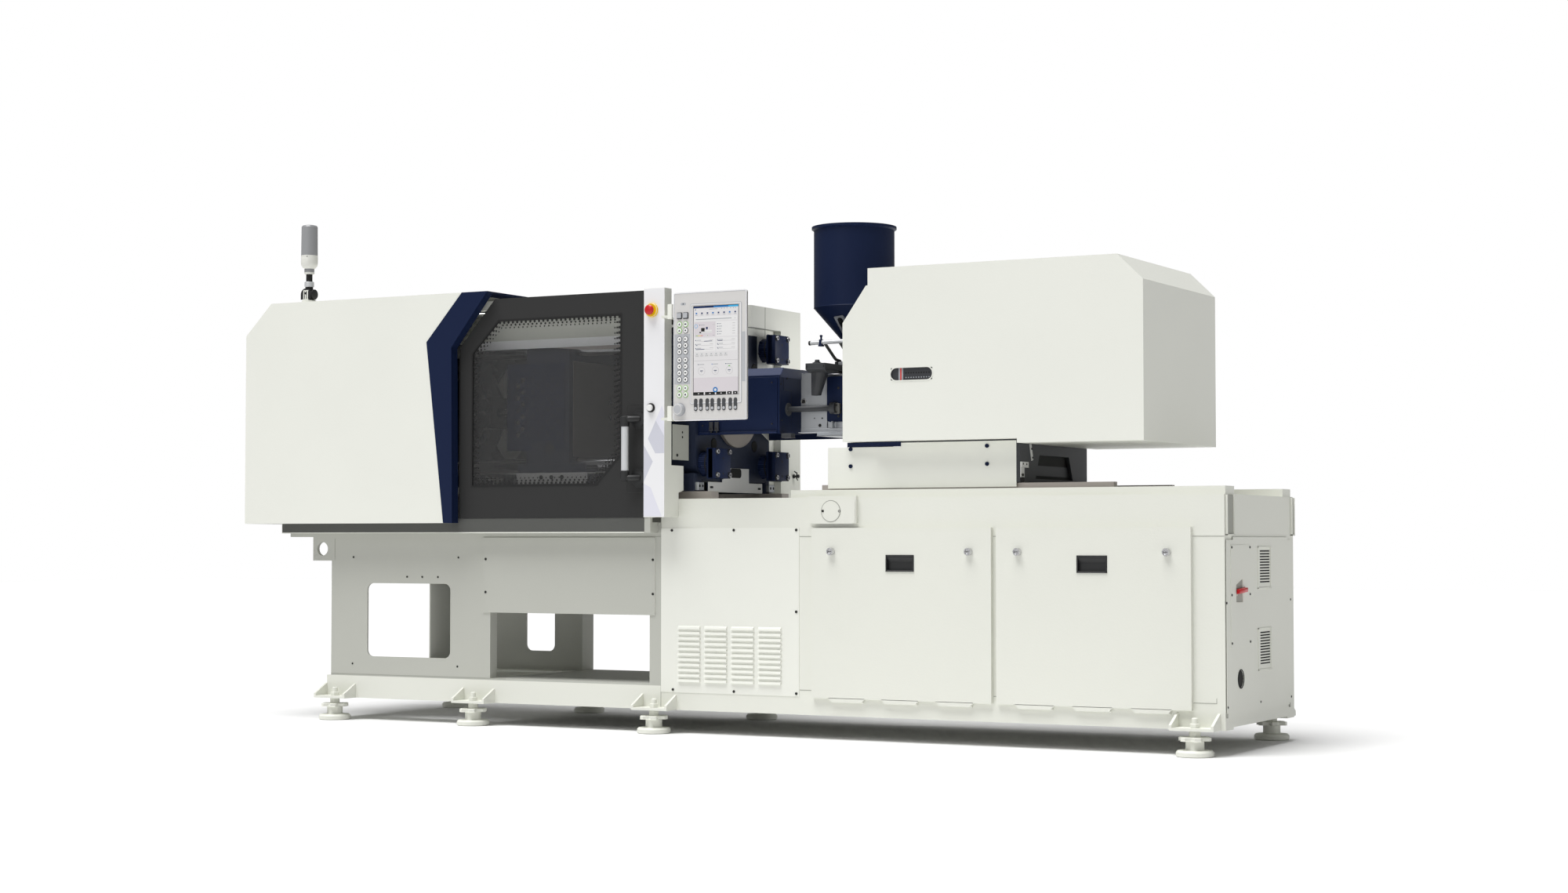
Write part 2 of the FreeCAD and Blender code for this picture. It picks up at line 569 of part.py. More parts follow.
def injection_cabinet():
    """Sheet steel box on the rails, with door openings, rail pads, end sheet and cut grilles."""
    wall = s.base_half - s.cabinet_wall
    box = Sketched()
    box.pad("XZ", [rectangle(s.cabinet_left, base_right, rail_top, s.base_top)],
            -s.base_half, s.base_half)
    box.cut("XZ", [rectangle(s.cabinet_left + s.cabinet_wall, base_right - s.cabinet_wall,
                             rail_top + s.cabinet_wall, s.base_top - s.cabinet_wall)], -wall, wall)
    box.cut("XZ", cabinet_openings(), -s.base_half, -wall)
    vent_high = s.louvre_bottom + 11 * s.louvre_pitch_z
    box.cut("XZ", [rectangle(s.louvre_left, s.louvre_left + 3 * s.louvre_pitch_x + s.louvre_width,
                             s.louvre_bottom, vent_high)], -s.base_half, -wall)
    box.pad("XY", [rectangle(s.pad_left, s.pad_right, side * s.pad_inner, side * s.pad_outer)
                   for side in (-1, 1)], s.base_top, s.base_top + s.rail_pad_height)
    box.pad("YZ", [rectangle(-s.end_half, s.end_half, rail_top, s.end_top)],
            base_right, base_right + s.end_sheet)
    slots = []
    for start in (s.grille_low, s.grille_high):
        for i in range(int(s.grille_slots.value)):
            low = start + i * s.slot_pitch
            slots.append(rectangle(s.grille_left, s.grille_right, low, low + s.slot_height))
    box.cut("YZ", slots + [(s.cable_y, s.cable_z, s.cable_radius)],
            base_right - s.cabinet_wall, base_right + s.end_sheet)
    junction = rectangle(s.junction_left, s.junction_right, s.junction_bottom, s.junction_top)
    box.pad("XZ", [junction], -s.base_half - s.junction_depth, -s.base_half)
    box.pad("XZ", [(s.junction_disc_x, s.junction_disc_z, s.junction_disc)],
            -s.base_half - s.junction_depth - s.panel_sheet, -s.base_half - s.junction_depth)
    box.done("injection_cabinet")


def service_panels():
    """Bolted sheet covers: the louvred panel, the panel over the chute and two rear panels."""
    face = -s.base_half
    vent = Sketched().pad("XZ", [rectangle(s.vent_left, s.vent_right, s.panel_bottom, s.panel_top)],
                          face - s.panel_sheet, face)
    front = face - s.panel_sheet
    hoods = []
    for row in range(11):
        low = s.louvre_bottom + row * s.louvre_pitch_z
        hoods.append([(front, low), (front - s.louvre_depth, low),
                      (front - s.louvre_depth * 0.7, low + s.louvre_height * 0.6),
                      (front, low + s.louvre_height)])
    for column in range(4):
        left = s.louvre_left + column * s.louvre_pitch_x
        vent.pad("YZ", hoods, left, left + s.louvre_width)
    chute = block(s.chute_panel_left, s.chute_panel_right, face - s.panel_sheet * 2, face,
                  s.chute_top, s.chute_panel_top)
    rear = [block(x, x + s.door_width, s.base_half, s.base_half + s.door_depth, s.door_bottom,
                  s.door_bottom + door_height) for x in door_starts()]
    node(group([vent.body, chute] + rear), "service_panels")


def main_switch():
    """Plate with a recess at the cabinet's end, and the red lever that turns in it."""
    face = base_right + s.end_sheet
    outline = rectangle(s.switch_left, s.switch_right, s.switch_bottom, s.switch_top)
    recess = rectangle(s.pocket_left, s.pocket_right, s.pocket_bottom, s.pocket_top)
    plate = Sketched().pad("YZ", [outline, recess], face, face + s.panel_sheet)
    plate.done("main_switch_panel")
    y, z = (s.pocket_left + s.pocket_right) / 2, (s.pocket_bottom + s.pocket_top) / 2
    lever = Sketched().pad("YZ", [(y, z, s.lever_hub)], face, face + s.panel_sheet + s.lever_thick)
    lever.pad("YZ", [rectangle(y, y + s.lever_reach, z - s.lever_width / 2, z + s.lever_width / 2)],
              face + s.panel_sheet + s.sliding_gap, face + s.panel_sheet + s.lever_thick)
    lever.done("main_switch_lever")


def cabinet_doors():
    """Lift-off doors hooked in at the foot, each with a sunk grip and two quarter-turn knobs."""
    face, front = -s.base_half, -s.base_half - s.door_depth
    back = face - s.running_gap
    top = s.door_bottom + door_height
    for name, x in zip(("left", "right"), door_starts()):
        door = Sketched().pad("XZ", [rectangle(x, x + s.door_width, s.door_bottom, top)], front, back)
        inset = s.door_skin * 4
        door.cut("XZ", [rectangle(x + inset, x + s.door_width - inset, s.door_bottom + inset,
                                  top - inset)], front + s.door_skin, back)
        grip = rectangle(x + s.grip_left, x + s.grip_left + s.grip_width,
                         top - s.grip_drop - s.grip_height, top - s.grip_drop)
        rim = s.door_skin
        cup = rectangle(x + s.grip_left - rim, x + s.grip_left + s.grip_width + rim,
                        top - s.grip_drop - s.grip_height - rim, top - s.grip_drop + rim)
        door.pad("XZ", [cup], front, front + s.grip_depth + rim)
        door.cut("XZ", [grip], front, front + s.grip_depth)
        spots = (x + s.knob_inset, x + s.door_width - s.knob_inset)
        height = top - s.knob_drop
        door.cut("XZ", [(spot, height, s.knob_stem + s.bore_clearance) for spot in spots],
                 front, front + s.door_skin)
        hooks = [rectangle(x + s.door_width * share - s.hook_width, x + s.door_width * share + s.hook_width,
                           s.door_bottom - s.hook_drop, s.door_bottom + inset)
                 for share in (0.2, 0.5, 0.8)]
        door.pad("XZ", hooks, back - s.door_skin, back)
        bead = (back - s.hook_bead, s.door_bottom - s.hook_drop, s.hook_bead)
        for share in (0.2, 0.5, 0.8):
            middle = x + s.door_width * share
            door.pad("YZ", [bead], middle - s.hook_width, middle + s.hook_width)
        door.done(f"cabinet_door_{name}")
        for place_name, spot in zip(("left", "right"), spots):
            knob = Sketched().pad("XZ", [(spot, height, s.knob_radius)],
                                  front - s.knob_proud, front - s.running_gap)
            knob.pad("XZ", [(spot, height, s.knob_stem)], front - s.running_gap, back - s.door_skin)
            knob.done(f"door_knob_{name}_{place_name}")


# ---------------------------------------------------------------- clamp cover, trim and gates
cover_floor = s.beam_top


def clamp_cover():
    """Folded sheet cover over the clamp, with the foot that the signal lamp folds down on."""
    skin = s.cover_sheet
    outer = [(s.cover_left, cover_floor), (s.cover_left, s.cover_shoulder_z),
             (s.cover_shoulder_x, s.cover_top), (s.cover_right_top, s.cover_top),
             (s.cover_knee_x, s.cover_knee_z), (s.cover_right_low, cover_floor)]
    inner = [(s.cover_left + skin, cover_floor - skin),
             (s.cover_left + skin, s.cover_shoulder_z - skin / 2),
             (s.cover_shoulder_x + skin / 2, s.cover_top - skin),
             (s.cover_right_top + skin, s.cover_top - skin),
             (s.cover_right_top + skin, cover_floor - skin)]
    cover = Sketched().pad("XZ", [outer], -s.cover_half, s.cover_half)
    cover.cut("XZ", [inner], -s.cover_half + skin, s.cover_half - skin)
    cover.pad("XY", [(s.lamp_x, lamp_y, s.lamp_foot)], s.cover_top, s.cover_top + s.lamp_foot_height)
    pivot = s.cover_top + s.lamp_pivot
    half = s.lamp_joint_width / 2
    cheek = rectangle(s.lamp_x - s.lamp_tube, s.lamp_x + s.lamp_tube,
                      s.cover_top + s.lamp_foot_height, pivot + s.lamp_tube)
    pin_hole = (s.lamp_x, pivot, s.dial_stem + s.bore_clearance)
    for near in (lamp_y - half - s.lamp_foot_height, lamp_y + half):
        cover.pad("XZ", [cheek, pin_hole], near, near + s.lamp_foot_height)
    cover.done("clamp_cover")


def signal_lamp():
    """Warning lamp on a short tube with a pivot, so that it folds down for transport."""
    pivot = s.cover_top + s.lamp_pivot
    half = s.lamp_joint_width / 2 - s.running_gap
    ends = half + s.lamp_foot_height
    lamp = Sketched().pad("XZ", [(s.lamp_x, pivot, s.lamp_joint)], lamp_y - half, lamp_y + half)
    lamp.pad("XZ", [(s.lamp_x, pivot, s.dial_stem)], lamp_y - ends, lamp_y + ends)
    bottom = s.cover_top
    for start, end, radius in ((s.lamp_pivot, s.lamp_neck_top, s.lamp_tube),
                               (s.lamp_nut_low, s.lamp_nut_high, s.lamp_nut),
                               (s.lamp_neck_top, s.lamp_base_top, s.lamp_base_radius),
                               (s.lamp_base_top, s.lamp_top, s.lamp_lens)):
        lamp.pad("XY", [(s.lamp_x, lamp_y, radius)], bottom + start, bottom + end)
    lamp.done("signal_lamp")


def cover_trim():
    """Navy portal that frames the clamp cover's open end at both sides and over the top."""
    low = cover_floor
    outline = [(s.cover_right_low, low), (s.cover_knee_x, s.cover_knee_z),
               (s.cover_right_top, s.cover_top), (s.trim_right_top, s.cover_top),
               (s.trim_knee_x, s.trim_knee_z), (s.trim_right_low, low)]
    lip = s.trim_lip
    hollow = [(s.cover_right_low + lip, low - lip), (s.cover_knee_x + lip, s.cover_knee_z),
              (s.cover_right_top + lip / 2, s.cover_top - lip), (s.trim_right_top - lip * 2,
              s.cover_top - lip), (s.trim_knee_x - lip, s.trim_knee_z), (s.trim_right_low - lip, low - lip)]
    outside = s.cover_half + s.trim_proud
    inside = s.cover_half + s.trim_proud - s.trim_depth
    trim = Sketched()
    for near, far, skin_near, skin_far in ((-outside, -inside, -s.cover_half, -inside),
                                           (inside, outside, inside, s.cover_half)):
        trim.pad("XZ", [outline], near, far)
        trim.cut("XZ", [hollow], skin_near, skin_far)
    trim.pad("XZ", [rectangle(s.cover_right_top, s.trim_right_top, s.cover_top - s.cover_sheet,
                              s.cover_top)], -outside, outside)
    trim.done("cover_trim")


def gate_outline(inset):
    return [(s.gate_left + inset, s.gate_bottom + inset),
            (s.gate_left + inset, s.gate_shoulder_z - inset / 2),
            (s.gate_shoulder_x + inset / 2, s.gate_top - inset),
            (s.gate_right - inset, s.gate_top - inset), (s.gate_right - inset, s.gate_bottom + inset)]


def sight_outline(grow):
    return [(s.sight_left - grow, s.sight_bottom - grow),
            (s.sight_left - grow, s.sight_shoulder_z + grow / 2),
            (s.sight_shoulder_x - grow / 2, s.sight_top + grow),
            (s.sight_right + grow, s.sight_top + grow),
            (s.sight_right + grow, s.sight_corner_z - grow / 2),
            (s.sight_corner_x + grow / 2, s.sight_bottom - grow)]


def safety_gates():
    """Sliding gates: a folded frame with a window at the operator side, plain at the rear."""
    front, back = -gate_front, -gate_front + s.gate_depth
    skin = s.cover_sheet
    gate = Sketched().pad("XZ", [gate_outline(Size("0", 0))], front, back)
    gate.cut("XZ", [gate_outline(s.trim_lip * 2)], front + skin, back)
    gate.cut("XZ", [sight_outline(Size("0", 0))], front, front + skin)
    gate.done("safety_gate")
    pane = Sketched().pad("XZ", [sight_outline(s.sight_overlap)], front + skin,
                          front + skin + s.sight_sheet)
    pane.done("gate_window")
    rear = Sketched().pad("XZ", [gate_outline(Size("0", 0))], -back, -front)
    rear.cut("XZ", [gate_outline(s.trim_lip * 2)], -back, -front - skin)
    grip_z = s.handle_z
    rear.pad("XZ", [rectangle(s.handle_plate_left, s.handle_plate_right, grip_z - s.handle_length / 2,
                              grip_z + s.handle_length / 2)], -front,
             -front + s.handle_standoff + s.handle_radius)
    rear.done("rear_gate")


def gate_handle():
    """Pull handle: a round bar with end sleeves on two round feet over a base plate."""
    face = -gate_front
    axis = face - s.handle_standoff
    handle = Sketched().pad("XZ", [rectangle(s.handle_plate_left, s.handle_plate_right,
                                             s.handle_plate_bottom, s.handle_plate_top)],
                            face - s.handle_plate, face)
    handle.rounded("Y", s.handle_radius, rectangle(s.handle_plate_left, s.handle_plate_right,
                                                   s.handle_plate_bottom, s.handle_plate_top))
    spacing = s.handle_foot_spacing / 2
    heights = (s.handle_z - spacing, s.handle_z + spacing)
    foot_depth = s.handle_standoff / 2
    handle.pad("XZ", [(s.handle_foot_x, z, s.handle_foot_radius) for z in heights],
               face - s.handle_plate - foot_depth, face - s.handle_plate)
    arm = s.handle_radius * 0.8
    handle.pad("XZ", [rectangle(s.handle_x, s.handle_foot_x, z - arm, z + arm) for z in heights],
               axis - s.handle_radius * 0.7, face - s.handle_plate)
    reach = s.handle_length / 2
    handle.pad("XY", [(s.handle_x, axis, s.handle_radius)], s.handle_z - reach, s.handle_z + reach)
    for start in (s.handle_z - reach - s.handle_end, s.handle_z + reach):
        handle.pad("XY", [(s.handle_x, axis, s.handle_radius * 0.94)], start, start + s.handle_end)
    handle.done("gate_handle")


# ---------------------------------------------------------------- columns and controls
def gate_track(body, inner, outer, right, height):
    """Rail along which a gate runs, from inside the clamp cover to its column."""
    start = s.beam_left - s.sight_overlap
    body.pad("XZ", [rectangle(start, right, height, height + s.track_height)], inner, outer)


def control_column():
    """Column beside the gate: folded sheet, stepped side plate, panel hinges and button collars."""
    face, skin = -s.cover_half, s.column_sheet
    back = face + s.column_depth
    track = -gate_front + s.gate_depth + s.running_gap
    column = Sketched().pad("XZ", [rectangle(s.column_left, s.column_right, s.column_bottom,
                                             s.column_top)], face, face + skin)
    side = [(face, s.column_bottom), (face, s.column_top), (back, s.column_top), (back, s.ear_top),
            (face + s.ear_depth, s.ear_top), (face + s.ear_depth, s.ear_bottom),
            (-s.base_half, s.ear_bottom - s.bracket_plate), (-s.base_half, s.column_bottom)]
    column.pad("YZ", [side], s.column_right - skin, s.column_right)
    column.pad("YZ", [rectangle(face, track + s.track_depth, s.column_bottom, s.column_top)],
               s.column_left, s.column_left + skin)
    gate_track(column, track, track + s.track_depth, s.column_left + skin,
               s.gate_top - s.track_height - s.trim_lip)
    # collars with their bores
    column.pad("XZ", [(s.stop_x, s.stop_z, s.collar_radius)], face - s.collar_height, face)
    column.pad("XZ", [(s.start_x, s.start_z, s.start_ring)], face - s.start_ring_height, face)
    column.cut("XZ", [(s.stop_x, s.stop_z, s.stop_neck + s.bore_clearance)],
               face - s.collar_height, face + skin)
    column.cut("XZ", [(s.start_x, s.start_z, s.start_radius + s.bore_clearance)],
               face - s.start_ring_height, face + skin)
    # hinge lugs with pins that carry the operator panel
    half = s.hinge_lug
    arm_end = s.hinge_x + s.hinge_lug + 1
    for z in (s.hinge_low, s.hinge_high):
        low = z - s.hinge_plate
        root = s.hinge_x - 2 * s.hinge_lug
        column.pad("XY", [rectangle(s.column_right, root, hinge_y - half, face + s.start_ring)], low, z)
        column.pad("XY", [rectangle(root, arm_end, hinge_y - half, hinge_y + half)], low, z)
        column.pad("XY", [(s.hinge_x, hinge_y, s.hinge_pin)], z, z + s.hinge_ear)
    column.done("control_column")


def rear_column():
    """Rear housing beside the fixed platen with the rear gate's track and the roof of the mould area."""
    skin = s.column_sheet
    left = s.cabinet_left
    outline = [(s.rear_inner, s.base_top), (s.cover_half, s.base_top), (s.cover_half, s.rear_top),
               (s.rear_reach, s.rear_top), (s.rear_reach, s.rear_shelf), (s.rear_inner, s.rear_shelf)]
    hollow = [(s.rear_inner + skin, s.base_top + skin), (s.cover_half - skin, s.base_top + skin),
              (s.cover_half - skin, s.rear_top - skin), (s.rear_reach + skin, s.rear_top - skin),
              (s.rear_reach + skin, s.rear_shelf + skin), (s.rear_inner + skin, s.rear_shelf + skin)]
    column = Sketched().pad("YZ", [outline], left, s.rear_right)
    column.cut("YZ", [hollow], left + skin, s.rear_right - skin)
    track = gate_front - s.gate_depth - s.running_gap
    gate_track(column, track - s.track_depth, track, left + skin,
               s.rear_top - s.track_height - s.trim_lip)
    column.pad("XZ", [rectangle(s.trim_knee_x, left + skin, s.roof_height,
                                s.roof_height + s.cover_sheet)], -s.roof_half, s.roof_half)
    lip = s.platen_half + s.column_sheet * 3
    column.pad("XZ", [rectangle(s.gate_left + s.sight_overlap, s.fixed_face, s.rear_shelf - s.cap_half,
                                s.roof_height)], -lip, -lip + s.cover_sheet)
    column.done("rear_column")


def buttons():
    """Emergency stop mushroom and the illuminated start button, each on its stem."""
    face = -s.cover_half
    head = face - s.collar_height - s.stop_travel - s.running_gap
    stop = Sketched().pad("XZ", [(s.stop_x, s.stop_z, s.stop_radius)], head - s.stop_height / 2, head)
    stop.pad("XZ", [(s.stop_x, s.stop_z, s.stop_neck)], head, face + 2 * s.column_sheet)
    stop.done("e_stop_button")
    start = Sketched().pad("XZ", [(s.start_x, s.start_z, s.start_radius)], face - s.start_height,
                           face + 2 * s.column_sheet)
    start.done("start_button")


def operator_panel():
    """Control panel with its screen and dial, hung on two pins of the control column."""
    front, back = -panel_face, -panel_face + s.panel_depth
    right, top = s.panel_left + s.panel_width, s.panel_low + s.panel_tall
    frame = rectangle(s.panel_left, right, s.panel_low, top)
    panel = Sketched().pad("XZ", [frame], front, back)
    panel.rounded("Y", s.panel_edge, frame)
    screen_top = top - s.screen_drop
    screen = rectangle(s.screen_left, s.screen_left + s.screen_width, screen_top - s.screen_height,
                       screen_top)
    panel.cut("XZ", [screen], front, front + s.screen_glass)
    dial_z = top - s.dial_drop
    panel.cut("XZ", [(s.dial_x, dial_z, s.dial_stem + s.bore_clearance)], front, front + s.dial_height)
    half = s.hinge_lug + s.hinge_lug / 2
    for z in (s.hinge_low, s.hinge_high):
        ear = rectangle(s.hinge_x - half, s.panel_left + s.panel_edge, hinge_y - half, hinge_y + half)
        low = z + s.running_gap
        panel.pad("XY", [ear], low, z + s.hinge_ear)
        panel.cut("XY", [(s.hinge_x, hinge_y, s.hinge_pin + s.bore_clearance)], low, z + s.hinge_ear)
    panel.done("operator_panel")
    gap = s.running_gap
    glass = rectangle(s.screen_left + gap, s.screen_left + s.screen_width - gap,
                      screen_top - s.screen_height + gap, screen_top - gap)
    Sketched().pad("XZ", [glass], front, front + s.screen_glass).done("panel_screen")
    dial = Sketched().pad("XZ", [(s.dial_x, dial_z, s.dial_radius)], front - s.dial_height, front - gap)
    dial.pad("XZ", [(s.dial_x, dial_z, s.dial_stem)], front - gap, front + s.dial_height / 2)
    dial.done("panel_dial")


# ---------------------------------------------------------------- platens and tie bars
def corners(reach):
    """Four places around the machine axis, in the plane across it."""
    return [(y * reach, s.axis_height + z * reach) for y in (-1, 1) for z in (-1, 1)]


def platen_outline():
    half, cut, mid = s.platen_half, s.platen_chamfer, s.axis_height
    return [(-half, mid - half + cut), (-half + cut, mid - half), (half - cut, mid - half),
            (half, mid - half + cut), (half, mid + half - cut), (half - cut, mid + half),
            (-half + cut, mid + half), (-half, mid + half - cut)]


def tie_bores(gap):
    return [(y, z, s.tie_radius + gap) for y, z in corners(s.tie_half)]


def feet_under(platen, start, end, gap):
    """Feet that stand or slide on the ways."""
    edge = s.way_width / 2
    low = s.base_top + s.way_height + gap
    platen.pad("XY", [rectangle(start, end, side * s.way_half - edge, side * s.way_half + edge)
                      for side in (-1, 1)], low,
               s.axis_height - s.tie_half - s.tie_radius - s.foot_clear)


def lugs(platen, sides, start, pivot):
    """Lug plates at both sides of a link, in mirrored pairs, with the pin through them."""
    for near, far in sides:
        for z in (s.axis_height - s.link_offset, s.axis_height + s.link_offset):
            low, high = (start, pivot) if number(start) < number(pivot) else (pivot, start)
            plate = rectangle(low, high, z - s.link_eye, z + s.link_eye)
            for a, b in ((near, far), (-far, -near)):
                platen.pad("XZ", [plate], a, b)
                platen.pad("XZ", [(pivot, z, s.link_eye)], a, b)
    inner, outer = sides[0][0], sides[-1][1]
    for z in (s.axis_height - s.link_offset, s.axis_height + s.link_offset):
        for a, b in ((inner, outer), (-outer, -inner)):
            platen.pad("XZ", [(pivot, z, s.link_pin)], a, b)


fixed_back = s.fixed_face + s.fixed_thick
moving_back = s.moving_face - s.moving_thick
moving_pivot = moving_back - s.lug_reach
tail_back = s.tail_front - s.tail_thick
tail_pivot = moving_pivot - s.fold_distance
half_link = s.link_thick / 2
wide = s.sliding_gap


def fixed_platen():
    platen = Sketched().pad("YZ", [platen_outline()], s.fixed_face, fixed_back)
    platen.cut("YZ", tie_bores(s.tie_clearance), s.fixed_face, fixed_back)
    platen.cut("YZ", [(0, s.axis_height, s.barrel_radius + s.sliding_gap)], s.fixed_face, fixed_back)
    platen.cut("YZ", [(0, s.axis_height, s.locating_radius)], s.fixed_face,
               s.fixed_face + s.locating_depth)
    lightening = [(side * s.tie_half * 0.68, s.axis_height + rise * s.tie_half * 0.66, s.tie_radius * 0.7)
                  for side in (-1, 1) for rise in (-1, 1)]
    platen.cut("YZ", lightening, fixed_back - s.fixed_thick / 2, fixed_back)
    feet_under(platen, s.fixed_face, fixed_back, Size("0", 0))
    stay = [(-s.foot_plate_half, s.foot_plate_low), (s.foot_plate_half, s.foot_plate_low),
            (s.foot_plate_half, s.foot_plate_step), (s.foot_plate_neck, s.foot_plate_step),
            (s.foot_plate_neck, s.foot_plate_high), (-s.foot_plate_neck, s.foot_plate_high),
            (-s.foot_plate_neck, s.foot_plate_step), (-s.foot_plate_half, s.foot_plate_step)]
    platen.pad("YZ", [stay], fixed_back, fixed_back + s.foot_plate_thick)
    cylinders = [(side * s.rod_y, s.rod_z, radius) for side in (-1, 1)
                 for radius in (s.cylinder_radius, s.rod_radius + s.sliding_gap)]
    platen.pad("YZ", cylinders, fixed_back, s.cylinder_end)
    platen.done("fixed_platen")


def moving_platen():
    platen = Sketched().pad("YZ", [platen_outline()], moving_back, s.moving_face)
    platen.cut("YZ", tie_bores(s.tie_clearance), moving_back, s.moving_face)
    platen.cut("YZ", [(0, s.axis_height, s.core_radius)], moving_back, moving_back + s.moving_thick / 2)
    pins = [(y, z, s.ejector_pin + s.bore_clearance) for y, z in
            ((0, s.axis_height - s.ejector_pin_circle / 2), (0, s.axis_height + s.ejector_pin_circle / 2))]
    platen.cut("YZ", pins, moving_back + s.moving_thick / 2, s.moving_face)
    middle = (moving_back + s.moving_face) / 2 + s.way_width / 2
    feet_under(platen, middle - s.shoe_length / 2, middle + s.shoe_length / 2, s.running_gap)
    inner = s.front_link_y - half_link - wide
    outer = s.front_link_y + half_link + wide
    lugs(platen, [(inner - s.lug_thick, inner), (outer, outer + s.lug_thick)], moving_back, moving_pivot)
    platen.done("moving_platen")


def ejector_guards():
    """Sheet guards beside the moving platen, cut with staggered rows of round holes."""
    face = -s.platen_half
    guard = Sketched().pad("XZ", [rectangle(s.guard_left, s.guard_right, s.guard_low, s.guard_high)],
                           face - s.guard_sheet, face)
    guard.body.Tip = guard.last
    both_sides(guard.body, "ejector_guards")


def ejector_plate():
    """Plate behind the moving platen that drives two ejector rods through it."""
    face = moving_back - s.ejector_gap
    half = s.ejector_pin_circle / 2
    tall = s.core_radius * 0.7
    plate = Sketched().pad("YZ", [rectangle(-half, half, s.axis_height - tall, s.axis_height + tall)],
                           face - s.ejector_plate_thick, face)
    rods = [(0, s.axis_height + side * half, s.ejector_pin) for side in (-1, 1)]
    plate.pad("YZ", rods, face, s.moving_face - s.ejector_gap)
    plate.done("ejector_plate")


def tail_platen():
    platen = Sketched().pad("YZ", [platen_outline()], tail_back, s.tail_front)
    platen.cut("YZ", tie_bores(s.tie_clearance), tail_back, s.tail_front)
    platen.cut("YZ", [(0, s.axis_height, s.screw_radius + s.bore_clearance)], tail_back, s.tail_front)
    feet_under(platen, tail_back, s.tail_front, Size("0", 0))
    inner = s.rear_link_y - half_link - wide
    outer = s.rear_link_y + half_link + wide
    lugs(platen, [(inner - s.lug_thick, inner), (outer, outer + s.lug_thick)], s.tail_front, tail_pivot)
    platen.done("tail_platen")


def tie_bars():
    """Four tie bars, with their square caps at the fixed platen and round nuts at the tail."""
    cap_start = fixed_back + s.cap_gap
    bars = [round_bar("X", tail_back - s.tail_nut_length, cap_start, y, z, s.tie_radius)
            for y, z in corners(s.tie_half)]
    node(group(bars), "tie_bars")
    bore = s.tie_radius + s.tie_clearance
    nuts = Sketched()
    nuts.pad("YZ", [(y, z, s.tail_nut_radius) for y, z in corners(s.tie_half)]
             + [(y, z, bore) for y, z in corners(s.tie_half)], tail_back - s.tail_nut_length, tail_back)
    nuts.pad("YZ", [(y, z, s.cap_neck) for y, z in corners(s.tie_half)]
             + [(y, z, bore) for y, z in corners(s.tie_half)], fixed_back, cap_start)
    nuts.pad("YZ", [rectangle(y - s.cap_half, y + s.cap_half, z - s.cap_half, z + s.cap_half)
                    for y, z in corners(s.tie_half)], cap_start, cap_start + s.cap_plate)
    nuts.done("tie_bar_nuts")


# ---------------------------------------------------------------- toggle
fold_angle = arc_cosine(s.fold_distance / (2 * s.link_length))
knee_x = tail_pivot + s.link_length * cosine(fold_angle)
knee_rise = s.link_offset + s.link_length * sine(fold_angle)
drive_x = tail_pivot + s.drive_radius * cosine(fold_angle)
drive_rise = s.link_offset + s.drive_radius * sine(fold_angle)
pin_rise = s.crosshead_half / 2
crosshead_x = drive_x + (s.drive_length - s.link_offset)


def bar_link(body, ends, width, near, far):
    """A link plate with round ends between two centres in the XZ plane."""
    (x0, z0), (x1, z1) = ends
    run = math.hypot(number(x1 - x0), number(z1 - z0))
    length = Size(f"sqrt(pow({formula(x1 - x0)}; 2) + pow({formula(z1 - z0)}; 2))", run)
    across, up = (z1 - z0) / length * width, (x1 - x0) / length * width
    plate = [(x0 + across, z0 - up), (x1 + across, z1 - up), (x1 - across, z1 + up),
             (x0 - across, z0 + up)]
    body.pad("XZ", [plate], near, far)
    for x, z in ends:
        body.pad("XZ", [(x, z, s.link_eye)], near, far)


def toggle_links():
    """Upper and lower link pairs of the double toggle, each in its own plane beside the next."""
    for name, side in (("upper", 1), ("lower", -1)):
        pivot_z = s.axis_height + side * s.link_offset
        knee_z = s.axis_height + side * knee_rise
        drive_z = s.axis_height + side * drive_rise
        rear, front = Sketched(), Sketched()
        for low, high in ((s.rear_link_y - half_link, s.rear_link_y + half_link),
                          (-s.rear_link_y - half_link, -s.rear_link_y + half_link)):
            bar_link(rear, ((tail_pivot, pivot_z), (knee_x, knee_z)), s.link_eye * 0.7, low, high)
            rear.cut("XZ", [(tail_pivot, pivot_z, s.link_pin + s.bore_clearance)], low, high)
        stub = s.front_link_y + half_link + wide
        inner = s.rear_link_y - half_link
        for low, high in ((stub, inner), (-inner, -stub)):
            rear.pad("XZ", [(knee_x, knee_z, s.link_pin)], low, high)
        reach = s.crosshead_y + s.lug_thick + wide
        for low, high in ((reach, inner), (-inner, -reach)):
            rear.pad("XZ", [(drive_x, drive_z, s.link_pin * 0.7)], low, high)
        rear.done(f"{name}_rear_links")
        for low, high in ((s.front_link_y - half_link, s.front_link_y + half_link),
                          (-s.front_link_y - half_link, -s.front_link_y + half_link)):
            bar_link(front, ((moving_pivot, pivot_z), (knee_x, knee_z)), s.link_eye * 0.7, low, high)
            front.cut("XZ", [(moving_pivot, pivot_z, s.link_pin + s.bore_clearance)], low, high)
        front.done(f"{name}_front_links")
        drive = Sketched()
        pin_z = s.axis_height + side * pin_rise
        near = s.crosshead_y + s.running_gap
        for low, high in ((near, near + s.lug_thick - wide), (-near - s.lug_thick + wide, -near)):
            bar_link(drive, ((crosshead_x, pin_z), (drive_x, drive_z)), s.link_pin, low, high)
            drive.cut("XZ", [(crosshead_x, pin_z, s.ejector_pin + s.bore_clearance)], low, high)
        drive.done(f"{name}_drive_links")


